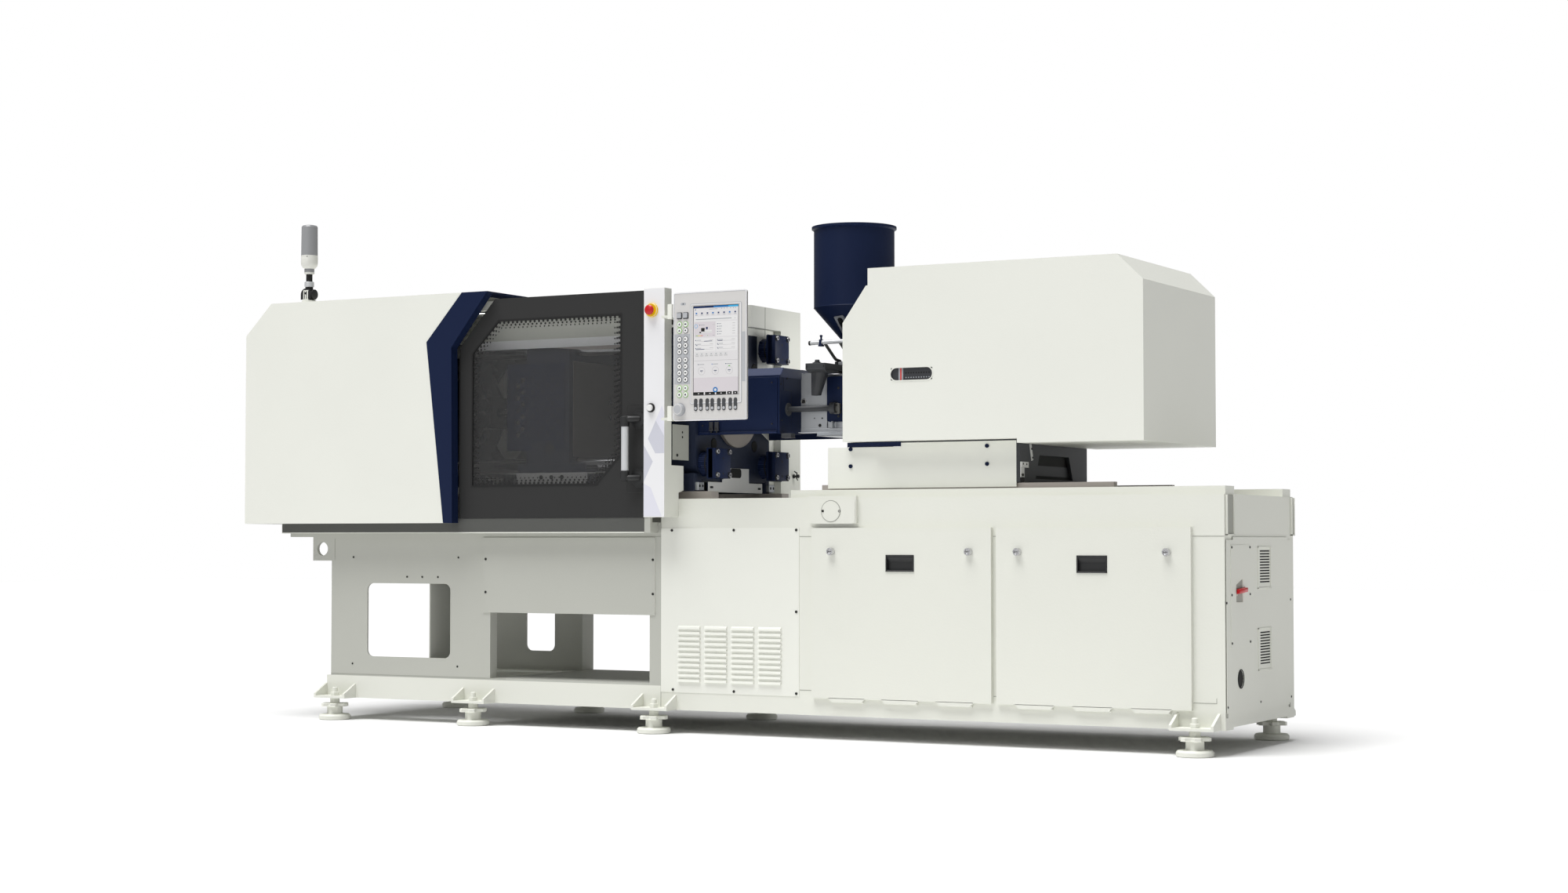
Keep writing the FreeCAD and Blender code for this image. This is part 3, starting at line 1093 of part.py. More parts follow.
def crosshead():
    """Block on the ball screw that folds and straightens the toggle."""
    half = s.crosshead_thick / 2
    block_body = Sketched().pad("YZ", [rectangle(-s.crosshead_y, s.crosshead_y,
                                                 s.axis_height - s.crosshead_half,
                                                 s.axis_height + s.crosshead_half),
                                       (0, s.axis_height, s.screw_radius + s.bore_clearance)],
                                crosshead_x - half, crosshead_x + half)
    reach = s.crosshead_y + s.running_gap + s.lug_thick
    for side in (-1, 1):
        z = s.axis_height + side * pin_rise
        for low, high in ((s.crosshead_y, reach), (-reach, -s.crosshead_y)):
            block_body.pad("XZ", [(crosshead_x, z, s.ejector_pin)], low, high)
    block_body.done("crosshead")
    end = moving_pivot - s.link_length / 2
    screw = Sketched().pad("YZ", [(0, s.axis_height, s.screw_radius)], tail_back - s.bearing_length / 2,
                           end)
    screw.done("clamp_ball_screw")


def clamp_drive():
    """Bearing housing and servo motor behind the tail platen."""
    housing = tail_back - s.bearing_length
    drive = Sketched().pad("YZ", [(0, s.axis_height, s.bearing_radius)], housing, tail_back)
    drive.cut("YZ", [(0, s.axis_height, s.screw_radius + s.bore_clearance)],
              tail_back - s.bearing_length / 2, tail_back)
    half = s.motor_radius * 0.9
    drive.pad("YZ", [rectangle(-half, half, s.axis_height - half, s.axis_height + half)],
              housing - s.motor_length, housing)
    drive.done("clamp_drive")


# ---------------------------------------------------------------- nozzle guard
def nozzle_guard():
    """Sheet hood over the nozzle, open to the platen, with passages for the barrel and the rods."""
    skin = s.hood_sheet
    low = s.hood_low
    outer = [(-s.hood_half, low), (s.hood_half, low), (s.hood_half, s.hood_shoulder),
             (s.hood_crown, s.hood_high), (-s.hood_crown, s.hood_high), (-s.hood_half, s.hood_shoulder)]
    side = s.hood_half - skin
    inner = [(-side, low - skin), (side, low - skin), (side, s.hood_shoulder - skin),
             (s.hood_crown, s.hood_high - skin), (-s.hood_crown, s.hood_high - skin),
             (-side, s.hood_shoulder - skin)]
    hood = Sketched().pad("YZ", [outer], s.hood_left, s.hood_right)
    hood.cut("YZ", [inner], s.hood_left, s.hood_right - skin)
    wall = s.hood_right - skin
    passage = s.shroud_radius + s.foot_gap
    hood.cut("YZ", [(0, s.axis_height, passage)], wall, s.hood_right)
    hood.cut("YZ", [rectangle(-passage, passage, low - skin, s.axis_height)], wall, s.hood_right)
    rods = [(y * s.rod_y, s.rod_z, s.rod_radius + s.sliding_gap) for y in (-1, 1)]
    hood.cut("YZ", rods, wall, s.hood_right)
    rim = s.hood_opening
    hood.cut("XZ", [rectangle(s.hood_door_left + rim, s.hood_door_right - rim, s.hood_door_low + rim,
                              s.hood_door_high - rim)], -s.hood_half, -side)
    hood.done("nozzle_guard")


def guard_door():
    """Flap over the nozzle guard's opening, turning on a hinge tube along its lower edge."""
    face = -s.hood_half - s.running_gap
    hinge_y, hinge_z = face - s.hood_hinge, s.hood_door_low - s.foot_gap
    door = Sketched().pad("XZ", [rectangle(s.hood_door_left, s.hood_door_right, s.hood_door_low,
                                           s.hood_door_high)], face - s.hood_sheet, face)
    door.pad("YZ", [(hinge_y, hinge_z, s.hood_hinge)], s.hood_door_left, s.hood_door_right)
    door.done("guard_door")


# ---------------------------------------------------------------- injection unit
guide_top = s.base_top + s.rail_pad_height + s.guide_height
deck_low = guide_top + s.shoe_rise
deck_high = deck_low + s.deck_thick
wall_inner = s.carriage_half - s.carriage_sheet - s.frame_side
wall_outer = s.carriage_half - s.carriage_sheet
end_face = s.carriage_right - s.end_plate


def carriage_frame():
    """Cast carriage on four guide shoes with side walls, a pedestal and a slotted end plate."""
    start = s.carriage_left + 2 * s.foot_gap
    frame = Sketched().pad("XY", [rectangle(start, end_face, -wall_outer, wall_outer)],
                           deck_low, deck_high)
    shoes = [rectangle(x, x + s.shoe_block, side * (s.guide_y) - s.guide_width * 0.7,
                       side * s.guide_y + s.guide_width * 0.7)
             for x in (start, end_face - s.shoe_block) for side in (-1, 1)]
    frame.pad("XY", shoes, guide_top + s.running_gap, deck_low)
    wall = [(start, deck_high), (end_face, deck_high), (end_face, s.cover_low),
            (s.carriage_step_x, s.cover_low), (s.carriage_step_x, s.carriage_step - s.carriage_sheet),
            (start, s.carriage_step - s.carriage_sheet)]
    for low, high in ((-wall_outer, -wall_inner), (wall_inner, wall_outer)):
        frame.pad("XZ", [wall], low, high)
    frame.pad("XY", [rectangle(start, s.feed_right, -s.feed_half, s.feed_half)], deck_high, s.feed_low)
    low = guide_top + s.foot_gap
    window = [(-s.end_opening_base, low + s.end_plate), (s.end_opening_base, low + s.end_plate),
              (s.end_opening_half, s.end_opening_top), (-s.end_opening_half, s.end_opening_top)]
    frame.pad("YZ", [rectangle(-s.carriage_half, s.carriage_half, low, s.carriage_high), window],
              end_face, s.carriage_right)
    frame.done("carriage_frame")


def carriage_cover():
    """Sheet sides, front and lower top of the carriage."""
    skin = s.carriage_sheet
    side = [(s.carriage_left, s.carriage_low), (end_face, s.carriage_low),
            (end_face, s.carriage_high), (s.carriage_step_x, s.carriage_high),
            (s.carriage_step_x, s.carriage_step), (s.carriage_left, s.carriage_step)]
    cover = Sketched()
    for low, high in ((-s.carriage_half, -wall_outer), (wall_outer, s.carriage_half)):
        cover.pad("XZ", [side], low, high)
    cover.pad("YZ", [rectangle(-wall_outer, wall_outer, guide_top + s.foot_gap, s.carriage_step)],
              s.carriage_left, s.carriage_left + skin)
    cover.pad("XY", [rectangle(s.feed_right + skin, s.carriage_step_x, -wall_outer, wall_outer)],
              s.carriage_step - skin, s.carriage_step)
    cover.done("carriage_cover")


def barrel():
    """Plasticising barrel with its nozzle; bored for the screw."""
    neck = s.nozzle_start + s.nozzle_length
    tube = Sketched().pad("YZ", [(0, s.axis_height, s.barrel_radius)], neck, s.feed_left)
    tube.pad("YZ", [(0, s.axis_height, s.nozzle_radius)], s.nozzle_start, neck)
    tube.cut("YZ", [(0, s.axis_height, s.nozzle_bore)], s.nozzle_start, neck + s.barrel_radius)
    tube.cut("YZ", [(0, s.axis_height, s.melt_screw + s.bore_clearance)], neck + s.barrel_radius,
             s.feed_left)
    tube.done("barrel")


def barrel_shroud():
    """Round-topped sheet shroud around the barrel's heater bands."""
    skin = s.shroud_sheet
    outer, inner = s.shroud_radius, s.shroud_radius - skin
    cover = Sketched().pad("YZ", [(0, s.axis_height, outer)], s.shroud_start, s.feed_left)
    cover.pad("YZ", [rectangle(-outer, outer, s.shroud_base, s.axis_height)], s.shroud_start,
              s.feed_left)
    cover.cut("YZ", [(0, s.axis_height, inner)], s.shroud_start + skin, s.feed_left)
    cover.cut("YZ", [rectangle(-inner, inner, s.shroud_base + skin, s.axis_height)],
              s.shroud_start + skin, s.feed_left)
    cover.cut("YZ", [(0, s.axis_height, s.barrel_radius + s.sliding_gap)], s.shroud_start,
              s.shroud_start + skin)
    cover.done("barrel_shroud")


def feed_block():
    """Water-cooled feed block with the throat, the screw bore and two lugs for the pull-in rods."""
    feed = Sketched().pad("YZ", [rectangle(-s.feed_half, s.feed_half, s.feed_low, s.feed_high)],
                          s.feed_left, s.feed_right)
    feed.pad("YZ", [rectangle(-s.feed_lug_half, s.feed_lug_half, s.feed_lug_low, s.feed_lug_high)],
             s.feed_lug_left, s.feed_right)
    feed.cut("YZ", [(0, s.axis_height, s.melt_screw + s.bore_clearance)], s.feed_left, s.feed_right)
    feed.cut("XY", [(s.hopper_x, 0, s.throat_radius)], s.axis_height, s.feed_high)
    feed.done("feed_block")


def pull_in_rods():
    """Two rods that press the nozzle against the mould, each with a fork at its rear end."""
    rods = []
    for side in (-1, 1):
        rods.append(joined([
            round_bar("X", s.rod_left, s.feed_lug_left, side * s.rod_y, s.rod_z, s.rod_radius),
            round_bar("X", s.feed_lug_left - 2 * s.rod_radius, s.feed_lug_left, side * s.rod_y,
                      s.rod_z, s.cylinder_radius)]))
    node(group(rods), "pull_in_rods")


def injection_cover():
    """Housing of the injection drives with its lower nose over the feed end, slot and chamfers."""
    skin = s.shell_sheet
    dip = s.cover_low - s.cover_dip
    outer = [(s.cover_start, s.cover_low), (s.cover_dip_x, s.cover_low), (s.cover_dip_x, dip),
             (s.cover_end, dip), (s.cover_end, s.cover_slope_z), (s.cover_slope_x, s.cover_high),
             (s.cover_start, s.cover_high)]
    inner = [(s.cover_start + skin, s.cover_low + skin), (s.cover_end - skin, s.cover_low + skin),
             (s.cover_end - skin, s.cover_slope_z - skin / 2),
             (s.cover_slope_x - skin / 2, s.cover_high - skin),
             (s.cover_start + skin, s.cover_high - skin)]
    nose = [(s.nose_start, s.cover_low), (s.cover_start, s.cover_low), (s.cover_start, s.nose_high),
            (s.nose_shoulder_x, s.nose_high), (s.nose_start, s.nose_shoulder_z)]
    hollow = [(s.nose_start + skin, s.cover_low + skin), (s.cover_start + skin, s.cover_low + skin),
              (s.cover_start + skin, s.nose_high - skin), (s.nose_shoulder_x + skin / 2,
              s.nose_high - skin), (s.nose_start + skin, s.nose_shoulder_z - skin / 2)]
    cover = Sketched().pad("XZ", [outer], -s.cover_side, s.cover_side)
    cover.pad("XZ", [nose], -s.nose_side, s.nose_side)
    cover.cut("XZ", [inner], -s.cover_side + skin, s.cover_side - skin)
    cover.cut("XZ", [hollow], -s.nose_side + skin, s.nose_side - skin)
    reach = s.plate_half + s.end_plate
    cover.cut("YZ", [rectangle(-reach, reach, s.feed_low, s.feed_high + s.end_plate)],
              s.nose_start, s.nose_start + skin)
    cover.cut("XZ", [rectangle(s.slot_left, s.slot_right, s.slot_centre - s.slot_half,
                               s.slot_centre + s.slot_half)], -s.cover_side, -s.cover_side + skin)
    cover.done("injection_cover")


def injection_frame():
    """Stop plate on two guide bars behind the feed block, with the injection motor."""
    frame = Sketched().pad("YZ", [(side * s.bar_guide_y, s.axis_height, s.bar_guide_radius)
                                  for side in (-1, 1)], s.feed_right, s.stop_plate_x)
    stop_back = s.stop_plate_x + s.stop_plate
    frame.pad("YZ", [rectangle(-s.plate_half, s.plate_half, s.axis_height - s.plate_low,
                               s.axis_height + s.plate_low),
                     (0, s.axis_height, s.drive_screw_radius + s.bore_clearance)],
              s.stop_plate_x, stop_back)
    frame.pad("YZ", [(0, s.axis_height, s.drive_motor_radius)], stop_back,
              stop_back + s.drive_motor_length)
    frame.done("injection_frame")


def injection_plate():
    """Plate that pushes the screw forward; it carries the ball nut and the dosing motor."""
    back = s.push_x + s.push_plate
    bars = [(side * s.bar_guide_y, s.axis_height, s.bar_guide_radius + s.bore_clearance)
            for side in (-1, 1)]
    plate = Sketched().pad("YZ", [rectangle(-s.plate_half, s.plate_half, s.axis_height - s.plate_low,
                                            s.axis_height + s.plate_high)] + bars, s.push_x, back)
    plate.pad("YZ", [(0, s.axis_height, s.ball_nut)], back, back + s.ball_nut_length)
    plate.cut("YZ", [(0, s.axis_height, s.drive_screw_radius + s.bore_clearance)],
              s.push_x + s.push_socket + s.foot_gap, back + s.ball_nut_length)
    plate.cut("YZ", [(0, s.axis_height, s.melt_screw + s.bore_clearance)], s.push_x,
              s.push_x + s.push_socket + s.running_gap)
    plate.pad("YZ", [(0, s.axis_height + s.dosing_rise, s.dosing_radius)], back,
              back + s.dosing_length)
    plate.done("injection_plate")
    start = s.nozzle_start + s.nozzle_length + s.push_stroke + s.barrel_radius + s.foot_gap
    screw = Sketched().pad("YZ", [(0, s.axis_height, s.melt_screw)], start, s.push_x + s.push_socket)
    screw.done("plasticising_screw")
    screw = Sketched().pad("YZ", [(0, s.axis_height, s.drive_screw_radius)],
                           s.push_x + s.push_socket + 2 * s.foot_gap,
                           s.stop_plate_x + s.stop_plate - s.foot_gap)
    screw.done("injection_ball_screw")


# ---------------------------------------------------------------- hopper
def hopper():
    """Hopper on a slide plate that runs along the base, from the throat to the emptying chute."""
    x, skin = s.hopper_x, s.hopper_sheet
    half = s.hopper_base_width / 2
    slab = Sketched().pad("XY", [rectangle(x - half, x + half, -s.hopper_base_front, s.hopper_base_back),
                                 (x, 0, s.throat_radius), (x, -s.hopper_stroke, s.throat_radius)],
                          s.feed_high, s.hopper_base_high)
    slab.pad("XY", [(x, -s.hopper_stroke, s.chute_top_radius), (x, -s.hopper_stroke, s.throat_radius)],
             s.feed_high - s.chute_length / 3, s.feed_high)
    slab.pad("XY", [(x, -s.hopper_stroke, s.chute_top_radius),
                    (x, -s.hopper_stroke, s.chute_low_radius)],
             s.feed_high - s.chute_length / 3 - s.chute_sheet, s.feed_high - s.chute_length / 3)
    slab.pad("XY", [(x, -s.hopper_stroke, s.chute_low_radius + s.chute_sheet),
                    (x, -s.hopper_stroke, s.chute_low_radius)],
             s.feed_high - s.chute_length, s.feed_high - s.chute_length / 3 - s.chute_sheet)
    slab.done("hopper_base")
    low = s.hopper_base_high + s.running_gap
    high = s.hopper_base_high + s.slide_thick
    reach = s.slide_length / 2
    slide = Sketched().pad("XY", [rectangle(x - s.slide_half, x + s.slide_half, -reach, reach),
                                  (x, 0, s.throat_radius)], low, high)
    stay = [(-reach, low), (-reach, high), (s.bar_y, s.bar_height + s.stay_radius),
            (s.bar_y, s.bar_height - s.stay_radius)]
    for side in (-1, 1):
        middle = x + side * (s.slide_half - s.stay_radius)
        slide.pad("YZ", [stay], middle - s.stay_radius / 2, middle + s.stay_radius / 2)
    slide.pad("YZ", [(s.bar_y, s.bar_height, s.bar_radius)], x - s.bar_half, x + s.bar_half)
    slide.done("hopper_slide")
    shape = []
    for step in (0, 1):
        inset = step * skin
        shape.append(joined([
            round_bar("Z", high, s.neck_top, x, 0, s.neck_tube - inset),
            round_bar("Z", s.neck_top, s.cone_top, x, 0, s.neck_tube - inset, s.hopper_radius - inset),
            round_bar("Z", s.cone_top, s.hopper_top, x, 0, s.hopper_radius - inset)]))
    rim = round_bar("Z", s.hopper_top - 2 * skin, s.hopper_top, x, 0, s.hopper_rim)
    node(less(joined([shape[0], rim]), [shape[1]]), "hopper")


# ---------------------------------------------------------------- assembly and export
for build in (base_rails, levelling_feet, clamp_frame, guide_ways, injection_cabinet, service_panels,
              main_switch, cabinet_doors, clamp_cover, signal_lamp, cover_trim, safety_gates,
              gate_handle, control_column, rear_column, buttons, operator_panel, fixed_platen,
              moving_platen, ejector_guards, ejector_plate, tail_platen, tie_bars, toggle_links,
              crosshead, clamp_drive, nozzle_guard, guard_door, carriage_frame, carriage_cover, barrel,
              barrel_shroud, feed_block, pull_in_rods, injection_cover, injection_frame,
              injection_plate, hopper):
    build()
doc.recompute()
for thing in doc.Objects:
    if "Invalid" in thing.State or "Error" in thing.State:
        raise ValueError(f"{thing.Name} ({thing.Label}) does not build")
for thing in nodes:
    if thing.Shape.isNull() or not thing.Shape.isValid():
        raise ValueError(f"{thing.Label} has no valid shape")
os.makedirs("parts", exist_ok=True)
for thing in nodes:
    thing.Shape.exportStep(f"parts/{thing.Label}.step")
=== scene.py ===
"""Looks of the injection moulding machine: paints, metals, glass, screws, keys and printed borders.

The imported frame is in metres; the pieces here are drawn in millimetres of that frame and scaled
when they are finished. The operator stands at -Y and the clamp is at -X.
"""
import json
import math

import bmesh
import bpy
from mathutils import Matrix, Vector


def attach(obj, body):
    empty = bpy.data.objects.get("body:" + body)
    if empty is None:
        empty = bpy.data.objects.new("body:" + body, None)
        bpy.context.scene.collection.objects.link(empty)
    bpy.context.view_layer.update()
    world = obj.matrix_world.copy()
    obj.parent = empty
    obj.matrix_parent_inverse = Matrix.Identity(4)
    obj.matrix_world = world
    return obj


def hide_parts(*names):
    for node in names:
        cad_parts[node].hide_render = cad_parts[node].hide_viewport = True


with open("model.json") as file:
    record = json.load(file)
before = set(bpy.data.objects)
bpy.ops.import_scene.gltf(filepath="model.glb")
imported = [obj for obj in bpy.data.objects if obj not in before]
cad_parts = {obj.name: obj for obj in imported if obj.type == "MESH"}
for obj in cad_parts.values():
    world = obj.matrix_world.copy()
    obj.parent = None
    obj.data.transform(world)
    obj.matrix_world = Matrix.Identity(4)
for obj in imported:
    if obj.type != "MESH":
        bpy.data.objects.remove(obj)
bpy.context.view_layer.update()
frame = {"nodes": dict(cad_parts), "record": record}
nodes = frame["nodes"]
MM = 0.001


def linked(name, data):
    """A new object that holds some data, in the scene's collection."""
    made = bpy.data.objects.new(name, data)
    bpy.context.collection.objects.link(made)
    return made


# -------- camera and studio light
# the photo's camera, solved from the machine's straight edges
camera = linked("camera", bpy.data.cameras.new("camera"))
camera.data.lens = 56.947
camera.data.sensor_width = 36
camera.data.clip_end = 100
camera.location = (5.224, -9.111, 0.785)
camera.rotation_euler = (math.radians(92.183), 0, math.radians(28.86))
bpy.context.scene.camera = camera
bpy.context.scene.view_settings.view_transform = "Standard"


def aimed(way):
    """The turn that makes a lamp shine along a direction."""
    return Vector(way).to_track_quat("-Z", "Y").to_euler()


def softbox(name, place, aim, width, height, power):
    """An area lamp that looks at a point, in metres and watts."""
    lamp = bpy.data.lights.new(name, "AREA")
    lamp.shape = "RECTANGLE"
    lamp.size, lamp.size_y, lamp.energy = width, height, power
    holder = linked(name, lamp)
    holder.location = place
    holder.visible_camera = False
    holder.rotation_euler = aimed(Vector(aim) - Vector(place))


# the key light comes from above, a little from the left and the front: the front faces are lit, the
# right end is in soft shade and the shadow falls to the right on the floor
key = bpy.data.lights.new("key", "SUN")
key.energy, key.angle = 3.3, math.radians(40)
linked("key", key).rotation_euler = aimed((0.14, 0.3, -1.0))
softbox("front", (-1.5, -9.0, 5.0), (0, 0, 1), 6, 3, 60)
# small fills: the zone behind the fixed platen, the rear column, and the sheets behind the window
softbox("feed_fill", (0.38, -0.34, 1.05), (-0.03, 0.06, 1.12), 0.16, 0.16, 0.55)
softbox("column_fill", (0.50, 0.50, 1.62), (0.0, 0.46, 1.42), 0.3, 0.3, 1.6)
softbox("work_light", (-0.68, -0.445, 1.77), (-0.68, -0.336, 1.69), 0.8, 0.03, 0.8)


# -------- shared helpers for nodes and colour
def linear(colour):
    """Turn an sRGB hex value into the renderer's linear colour."""
    channels = [int(colour[i:i + 2], 16) / 255 for i in (1, 3, 5)]
    return tuple(c / 12.92 if c <= 0.04045 else ((c + 0.055) / 1.055) ** 2.4 for c in channels) + (1.0,)


def add(tree, kind, inputs=(), **settings):
    """Add a node. An input given as a socket, or as a list of them, is linked; others are set."""
    made = tree.nodes.new(kind)
    for name, value in settings.items():
        setattr(made, name, value)
    for name, value in dict(inputs).items():
        for one in value if isinstance(value, list) else [value]:
            if isinstance(one, bpy.types.NodeSocket):
                tree.links.new(one, made.inputs[name])
            else:
                made.inputs[name].default_value = one
    return made


# white cyclorama: full white where the camera sees it, weaker as a light
world = bpy.data.worlds.new("studio")
world.use_nodes = True
rays = add(world.node_tree, "ShaderNodeLightPath")
level = add(world.node_tree, "ShaderNodeMapRange",
    {"Value": rays.outputs["Is Camera Ray"], "To Min": 0.24, "To Max": 1.0})
backdrop = world.node_tree.nodes["Background"]
backdrop.inputs["Color"].default_value = linear("#FFFFFF")
world.node_tree.links.new(level.outputs["Result"], backdrop.inputs["Strength"])
bpy.context.scene.world = world


def shader(name, **values):
    """A material with a Principled shader whose sockets are set from keyword names."""
    material = bpy.data.materials.new(name)
    material.use_nodes = True
    surface = material.node_tree.nodes["Principled BSDF"]
    for socket, value in values.items():
        surface.inputs[socket.replace("_", " ").title().replace("Ior", "IOR")].default_value = value
    return material, material.node_tree, surface


def grained(tree, surface, noise, depth, strength, roughness=None, smoother=0.0, rougher=0.0):
    """Let a noise raise the surface and, where a roughness is given, spread it about that value."""
    height = noise.outputs["Fac"]
    bump = add(tree, "ShaderNodeBump", {"Height": height, "Distance": depth, "Strength": strength})
    tree.links.new(bump.outputs["Normal"], surface.inputs["Normal"])
    if roughness is not None:
        gloss = add(tree, "ShaderNodeMapRange",
            {"Value": height, "To Min": roughness - smoother, "To Max": roughness + rougher})
        tree.links.new(gloss.outputs["Result"], surface.inputs["Roughness"])


def powder_coat(name, colour, roughness, grain, depth, variation=0.03, sheen=0.5):
    """Powder coat: cured thick, so it keeps a fine orange peel that breaks up the highlight."""
    material, tree, surface = shader(name, base_color=linear(colour), roughness=roughness, ior=1.5,
        specular_ior_level=sheen)
    place = add(tree, "ShaderNodeTexCoord")
    peel = add(tree, "ShaderNodeTexNoise", {"Vector": place.outputs["Object"], "Scale": 1 / grain,
        "Detail": 3.0, "Roughness": 0.55})
    drift = add(tree, "ShaderNodeTexNoise", {"Vector": place.outputs["Object"], "Scale": 1.7,
        "Detail": 2.0})
    shade = add(tree, "ShaderNodeMapRange", {"Value": drift.outputs["Fac"], "To Min": 1 - variation,
        "To Max": 1 + variation})
    tint = add(tree, "ShaderNodeHueSaturation",
        {"Color": linear(colour), "Value": shade.outputs["Result"]})
    tree.links.new(tint.outputs["Color"], surface.inputs["Base Color"])
    grained(tree, surface, peel, depth, 0.6, roughness, 0.06, 0.08)
    return material


def machined(name, colour, roughness, stretch, grain, depth=0.00005, metallic=1.0):
    """Ground or turned metal: fine marks along one direction that spread the highlight across them."""
    material, tree, surface = shader(name, base_color=linear(colour), roughness=roughness,
        metallic=metallic)
    place = add(tree, "ShaderNodeTexCoord")
    lay = add(tree, "ShaderNodeMapping", {"Vector": place.outputs["Object"], "Scale": stretch})
    marks = add(tree, "ShaderNodeTexNoise", {"Vector": lay.outputs["Vector"], "Scale": 1 / grain,
        "Detail": 4.0})
    grained(tree, surface, marks, depth, 0.5, roughness, 0.08, 0.12)
    return material


def moulded(name, colour, roughness, grain=0.0006, depth=0.00004):
    """Moulded plastic: an even colour with the tool's fine spark-eroded grain."""
    material, tree, surface = shader(name, base_color=linear(colour), roughness=roughness, ior=1.53)
    place = add(tree, "ShaderNodeTexCoord")
    grit = add(tree, "ShaderNodeTexNoise", {"Vector": place.outputs["Object"], "Scale": 1 / grain,
        "Detail": 2.0})
    grained(tree, surface, grit, depth, 0.4)
    return material


# -------- materials
# textured powder coat on the covers: warm off-white, peel about 7 mm across so that it shows
cover_coat = powder_coat("cover_powder_coat", "#E9EAE2", 0.5, 7 * MM, 0.5 * MM)
# the base has the same coat over thicker plate: a little greyer, coarser peel
base_coat = powder_coat("base_powder_coat", "#E3E4DB", 0.55, 8 * MM, 0.6 * MM)
# welded stand under the clamp and the chute panel: greyer coat, painted shade under the cover's
# overhang; its mounting rail: dark grey, painted shadow under the cover
stand_shade_coat = powder_coat("stand_powder_coat_painted_shade", "#B9BAB2", 0.6, 8 * MM, 0.6 * MM)
rail_painted_shadow = powder_coat("rail_painted_shadow", "#51524F", 0.65, 8 * MM, 0.6 * MM)
# navy powder coat: deep and even, only the gloss breaks up
navy_coat = powder_coat("navy_powder_coat", "#16213E", 0.42, 6 * MM, 0.25 * MM, 0.05, 0.12)
# castings painted navy over a sand-cast skin: dull and pitted
navy_cast = powder_coat("navy_cast_paint", "#20283C", 0.55, 12 * MM, 0.9 * MM, 0.08, 0.3)
# column and its covers: smooth near-white lacquer
column_coat = powder_coat("column_lacquer", "#ECECEE", 0.4, 3 * MM, 0.08 * MM, 0.01)
# sliding gate: smooth anthracite lacquer, almost flat
gate_coat = powder_coat("gate_lacquer", "#343434", 0.55, 4 * MM, 0.08 * MM, 0.02, 0.15)
# carriage castings and brackets: matt anthracite
anthracite = powder_coat("anthracite_coat", "#303236", 0.5, 5 * MM, 0.3 * MM, 0.05)
# servo motor housings: matt black stove enamel
motor_black = powder_coat("motor_enamel", "#1C1D20", 0.5, 5 * MM, 0.3 * MM, 0.05)
# hard chrome on tie bars and screws: mirror with fine grinding rings
hard_chrome = machined("hard_chrome", "#C8C9CC", 0.16, (1, 30, 30), 20 * MM)
# ground guide rails: beige grey under a film of oil, marks along the length
ground_steel = machined("ground_steel", "#B5AEA8", 0.42, (0.2, 6, 6), 6 * MM, metallic=0.5)
# milled platen face: grey-brown with a soft cross-hatch
milled_face = machined("milled_platen_face", "#8F8983", 0.5, (1, 3, 12), 10 * MM, metallic=0.6)
# zinc-coated sheet: pale, with cloudy spangle
zinc_sheet = machined("zinc_sheet", "#B9BCC0", 0.38, (1, 1, 1), 18 * MM, 0.0001)
# phosphated castings of the toggle: dark and dull
cast_link = machined("machined_casting", "#3E4044", 0.5, (1, 1, 1), 8 * MM, 0.0002, 0.4)
# nitrided tool steel of the barrel: straw grey, turned
tool_steel = machined("nitrided_steel", "#8D8D8F", 0.35, (8, 1, 1), 8 * MM)
# nickel on knobs and screws: warm and bright
nickel = machined("nickel_plate", "#D4D4D6", 0.24, (1, 1, 1), 5 * MM)
# zinc-flake screws: dark and dull
dark_screw = machined("zinc_flake_screw", "#3C3C3A", 0.45, (1, 1, 1), 3 * MM, metallic=0.7)
# satin anodised aluminium: brushed along the bar
satin_aluminium = machined("satin_aluminium", "#DEE0E2", 0.36, (8, 8, 0.3), 4 * MM, metallic=0.5)
# glass-filled nylon: black with a dull sheen
black_nylon = moulded("black_nylon", "#1B1C1D", 0.5)
# panel front: fine-textured light grey ABS
grey_abs = moulded("grey_abs", "#D3D1CF", 0.42)
# deeper grey of the key field and grip
mid_grey_abs = moulded("mid_grey_abs", "#B4B6BA", 0.45)
# silicone key caps, soft white with a low gloss, and the green and dark rings around them; the dark is
# also painted shade beside the square keys
key_white = moulded("silicone_rubber_white", "#EDEDEC", 0.35)
key_green = moulded("silicone_rubber_green", "#86BE58", 0.4)
key_dark = moulded("silicone_rubber_dark_and_painted_shade", "#3E4043", 0.5)
# unlit acrylic lens: even grey with a clean gloss; its polycarbonate body is warm white
lamp_lens = moulded("acrylic_lens_grey", "#97989A", 0.3)
lamp_white = moulded("polycarbonate_white", "#E3E3DC", 0.35)
# emergency stop: glossy signal red on a signal yellow collar
stop_red = moulded("moulded_polyamide_red", "#C4131B", 0.28)
stop_yellow = moulded("moulded_polyamide_yellow", "#F2C80A", 0.35)
# paint inside a joint between two sheets: it draws the joint as a soft grey line; the same grey is
# painted shade in the switch pocket and the cabinet's channel ends
seam_shade = powder_coat("powder_coat_in_seam_and_painted_shade", "#A3A49C", 0.7, 8 * MM, 0.1 * MM)
# rubber seals and grommets: black, almost no gloss; the same black is painted shade in holes, sockets
# and slots
seal_rubber_and_hole_shade = moulded("seal_rubber_and_hole_shade", "#121212", 0.8)
grommet_rubber = moulded("grommet_rubber", "#4A4B4D", 0.75)
# screen inks: flat printed or lit colours under one sheet of glass
ink = {name: moulded("ink_" + name, colour, 0.3)
    for name, colour in {"black": "#141414", "navy": "#16305F", "blue": "#1F74B8", "cyan": "#35A8DC",
    "slate": "#9FA3A8", "line": "#BDBBBC", "card": "#DAD9D9", "rose": "#D6D0D4", "green": "#6DBE45",
    "yellow": "#F3D02F", "red": "#D8352A", "tint_lilac": "#E0E0EA", "tint_line": "#CDCED8",
    "pale": "#E6E5E5", "white": "#DFDDDE"}.items()}
